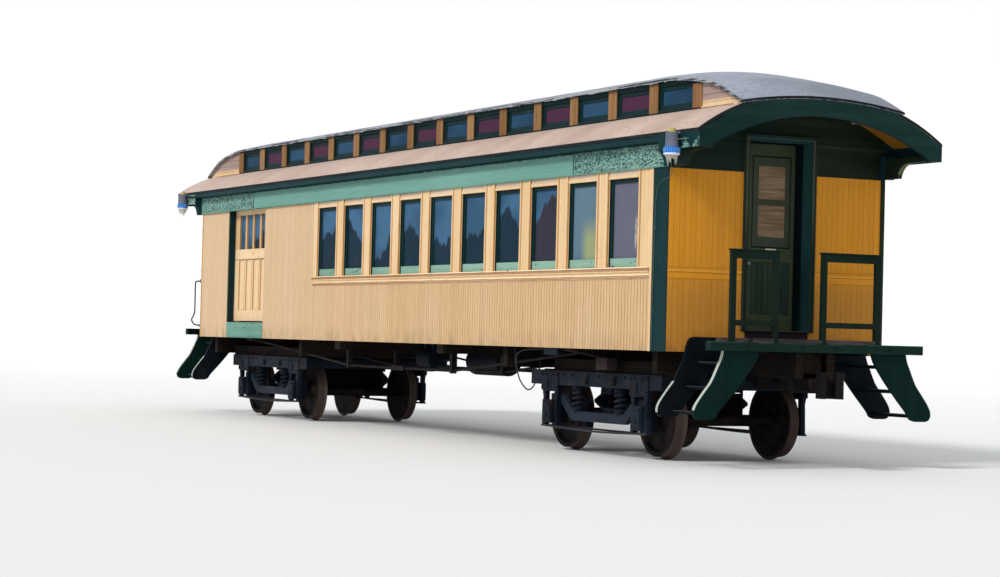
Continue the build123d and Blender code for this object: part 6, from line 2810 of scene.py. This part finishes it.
    def build(self, paints: "NodePaints") -> None:
        """Adds the springs in place of their node, and the fittings.

        Args:
            paints: Materials of the car.
        """
        body = f"truck_{self.end}"
        shapes = [*self.coils(), *self.leaves()]
        name = f"springs_{self.end}"
        build_mesh(f"{name}_wound", shapes, [paints.iron], body, [name])
        pieces = [*mirrored_pair(self.fittings(), 1), *self.planks()]
        coats = [paints.iron, paints.rusty, paints.rod_iron]
        build_mesh(f"truck_fittings_{self.end}", pieces, coats, body, smooth=30.0)


# Light, floor and camera


@dataclass(frozen=True)
class Studio:
    """Pale floor and backdrop, a large key light on the right side, and the photo's camera."""

    camera_place: Colour = (29.564, -14.440, 1.319)
    yaw: float = 63.48
    pitch: float = 1.181
    roll: float = 1.462
    lens: float = 86.42

    def add_floor(self) -> None:
        """Lays the floor that rises into the backdrop: flat, then a quarter circle, then upright.

        It is clear from behind and from below, so that the car can be looked at from all sides.
        """
        pale = Graph("backdrop_paint")
        behind = Value(pale, pale.add("ShaderNodeNewGeometry").outputs["Backfacing"])
        material = pale.finish((0.80, 0.80, 0.80), 0.9, Alpha=1.0 - behind)
        reach = np.linspace(0.0, np.pi / 2, 24)
        radius, flat, height = 14.0, 34.0, 60.0
        run = np.concatenate([[-400.0], flat + radius * np.sin(reach), [flat + radius]])
        rise = np.concatenate([[0.0], radius * (1 - np.cos(reach)), [height]])
        across = np.array([400.0, -400.0])
        direction = math.radians(self.yaw)
        ahead = np.array([-math.sin(direction), math.cos(direction), 0.0])
        right = np.array([math.cos(direction), math.sin(direction), 0.0])
        points = (
            across[:, None, None] * right + run[None, :, None] * ahead + rise[None, :, None] * np.array([0, 0, 1.0])
        )
        shape = grid_shape(points)
        mesh = bpy.data.meshes.new("floor")
        mesh.from_pydata(shape.points.tolist(), [], shape.quads.tolist())
        mesh.materials.append(material)
        mesh.polygons.foreach_set("use_smooth", np.ones(len(mesh.polygons), dtype=bool))
        floor = bpy.data.objects.new("floor", mesh)
        bpy.context.scene.collection.objects.link(floor)
        floor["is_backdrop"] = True

    def add_light(self) -> None:
        """Adds the sky and the key light."""
        world = bpy.data.worlds.new("sky")
        world.use_nodes = True
        background = world.node_tree.nodes["Background"]
        background.inputs["Color"].default_value = (0.90, 0.95, 1.0, 1.0)
        background.inputs["Strength"].default_value = 0.62
        bpy.context.scene.world = world
        self.add_sun("key_light", (-0.30, 1.0, -0.85), 2.1, 14.0, (1.0, 0.97, 0.92))
        self.add_sun("end_light", (-1.0, 0.25, -0.35), 0.45, 40.0, (1.0, 0.96, 0.90))

    def add_sun(self, name: str, heading: Colour, strength: float, width: float, colour: Colour) -> None:
        """Adds one distant light.

        Args:
            name: Its name.
            heading: Direction in which its light goes.
            strength: Its strength.
            width: Its apparent width in degrees.
            colour: Its colour.
        """
        lamp = bpy.data.lights.new(name, "SUN")
        lamp.energy, lamp.angle, lamp.color = strength, math.radians(width), colour
        holder = bpy.data.objects.new(name, lamp)
        back = -np.array(heading, float) / np.linalg.norm(heading)
        side = np.cross((0.0, 0.0, 1.0), back)
        side /= np.linalg.norm(side)
        turn = np.stack([side, np.cross(back, side), back], axis=1)
        holder.matrix_world = Matrix(turn.tolist()).to_4x4()
        bpy.context.scene.collection.objects.link(holder)

    def add_camera(self) -> None:
        """Adds the camera at the photo's place, turned by yaw, pitch and roll."""
        yaw, pitch, roll = (math.radians(part) for part in (self.yaw, self.pitch, self.roll))
        ahead = np.array([-math.sin(yaw) * math.cos(pitch), math.cos(yaw) * math.cos(pitch), math.sin(pitch)])
        level = np.array([math.cos(yaw), math.sin(yaw), 0.0])
        above = np.cross(level, ahead)
        right = math.cos(roll) * level + math.sin(roll) * above
        top = -math.sin(roll) * level + math.cos(roll) * above
        data = bpy.data.cameras.new("camera")
        data.lens, data.sensor_width, data.clip_end = self.lens, 36.0, 300.0
        camera = bpy.data.objects.new("camera", data)
        turn = Matrix(np.stack([right, top, -ahead], axis=1).tolist()).to_4x4()
        camera.matrix_world = Matrix.Translation(self.camera_place) @ turn
        bpy.context.scene.collection.objects.link(camera)
        bpy.context.scene.camera = camera

    def build(self) -> None:
        """Adds floor, light and camera."""
        self.add_floor()
        self.add_light()
        self.add_camera()
        bpy.context.scene.view_settings.view_transform = "Standard"


def main() -> None:
    """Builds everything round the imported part."""
    logging.basicConfig(level=logging.INFO, format="%(message)s")
    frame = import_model()
    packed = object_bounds()
    paints = NodePaints()
    paints.apply(frame["nodes"])
    pieces = [UpperRoof(), Decks(), SideTrim(), ClerestoryTrim(), EndTrim(), EndDoor(), BaggageDoorTrim()]
    pieces += [PlatformTrim(), Steps(), Lamps(), Wires(), Underbody(), Truck("front", 5.21), Truck("rear", -5.21)]
    for piece in pieces:
        piece.build(paints)
    Studio().build()
    boxes = {"cad": [list(corner) for corner in packed], "visual": [list(corner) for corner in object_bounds()]}


if __name__ == "__main__":
    main()
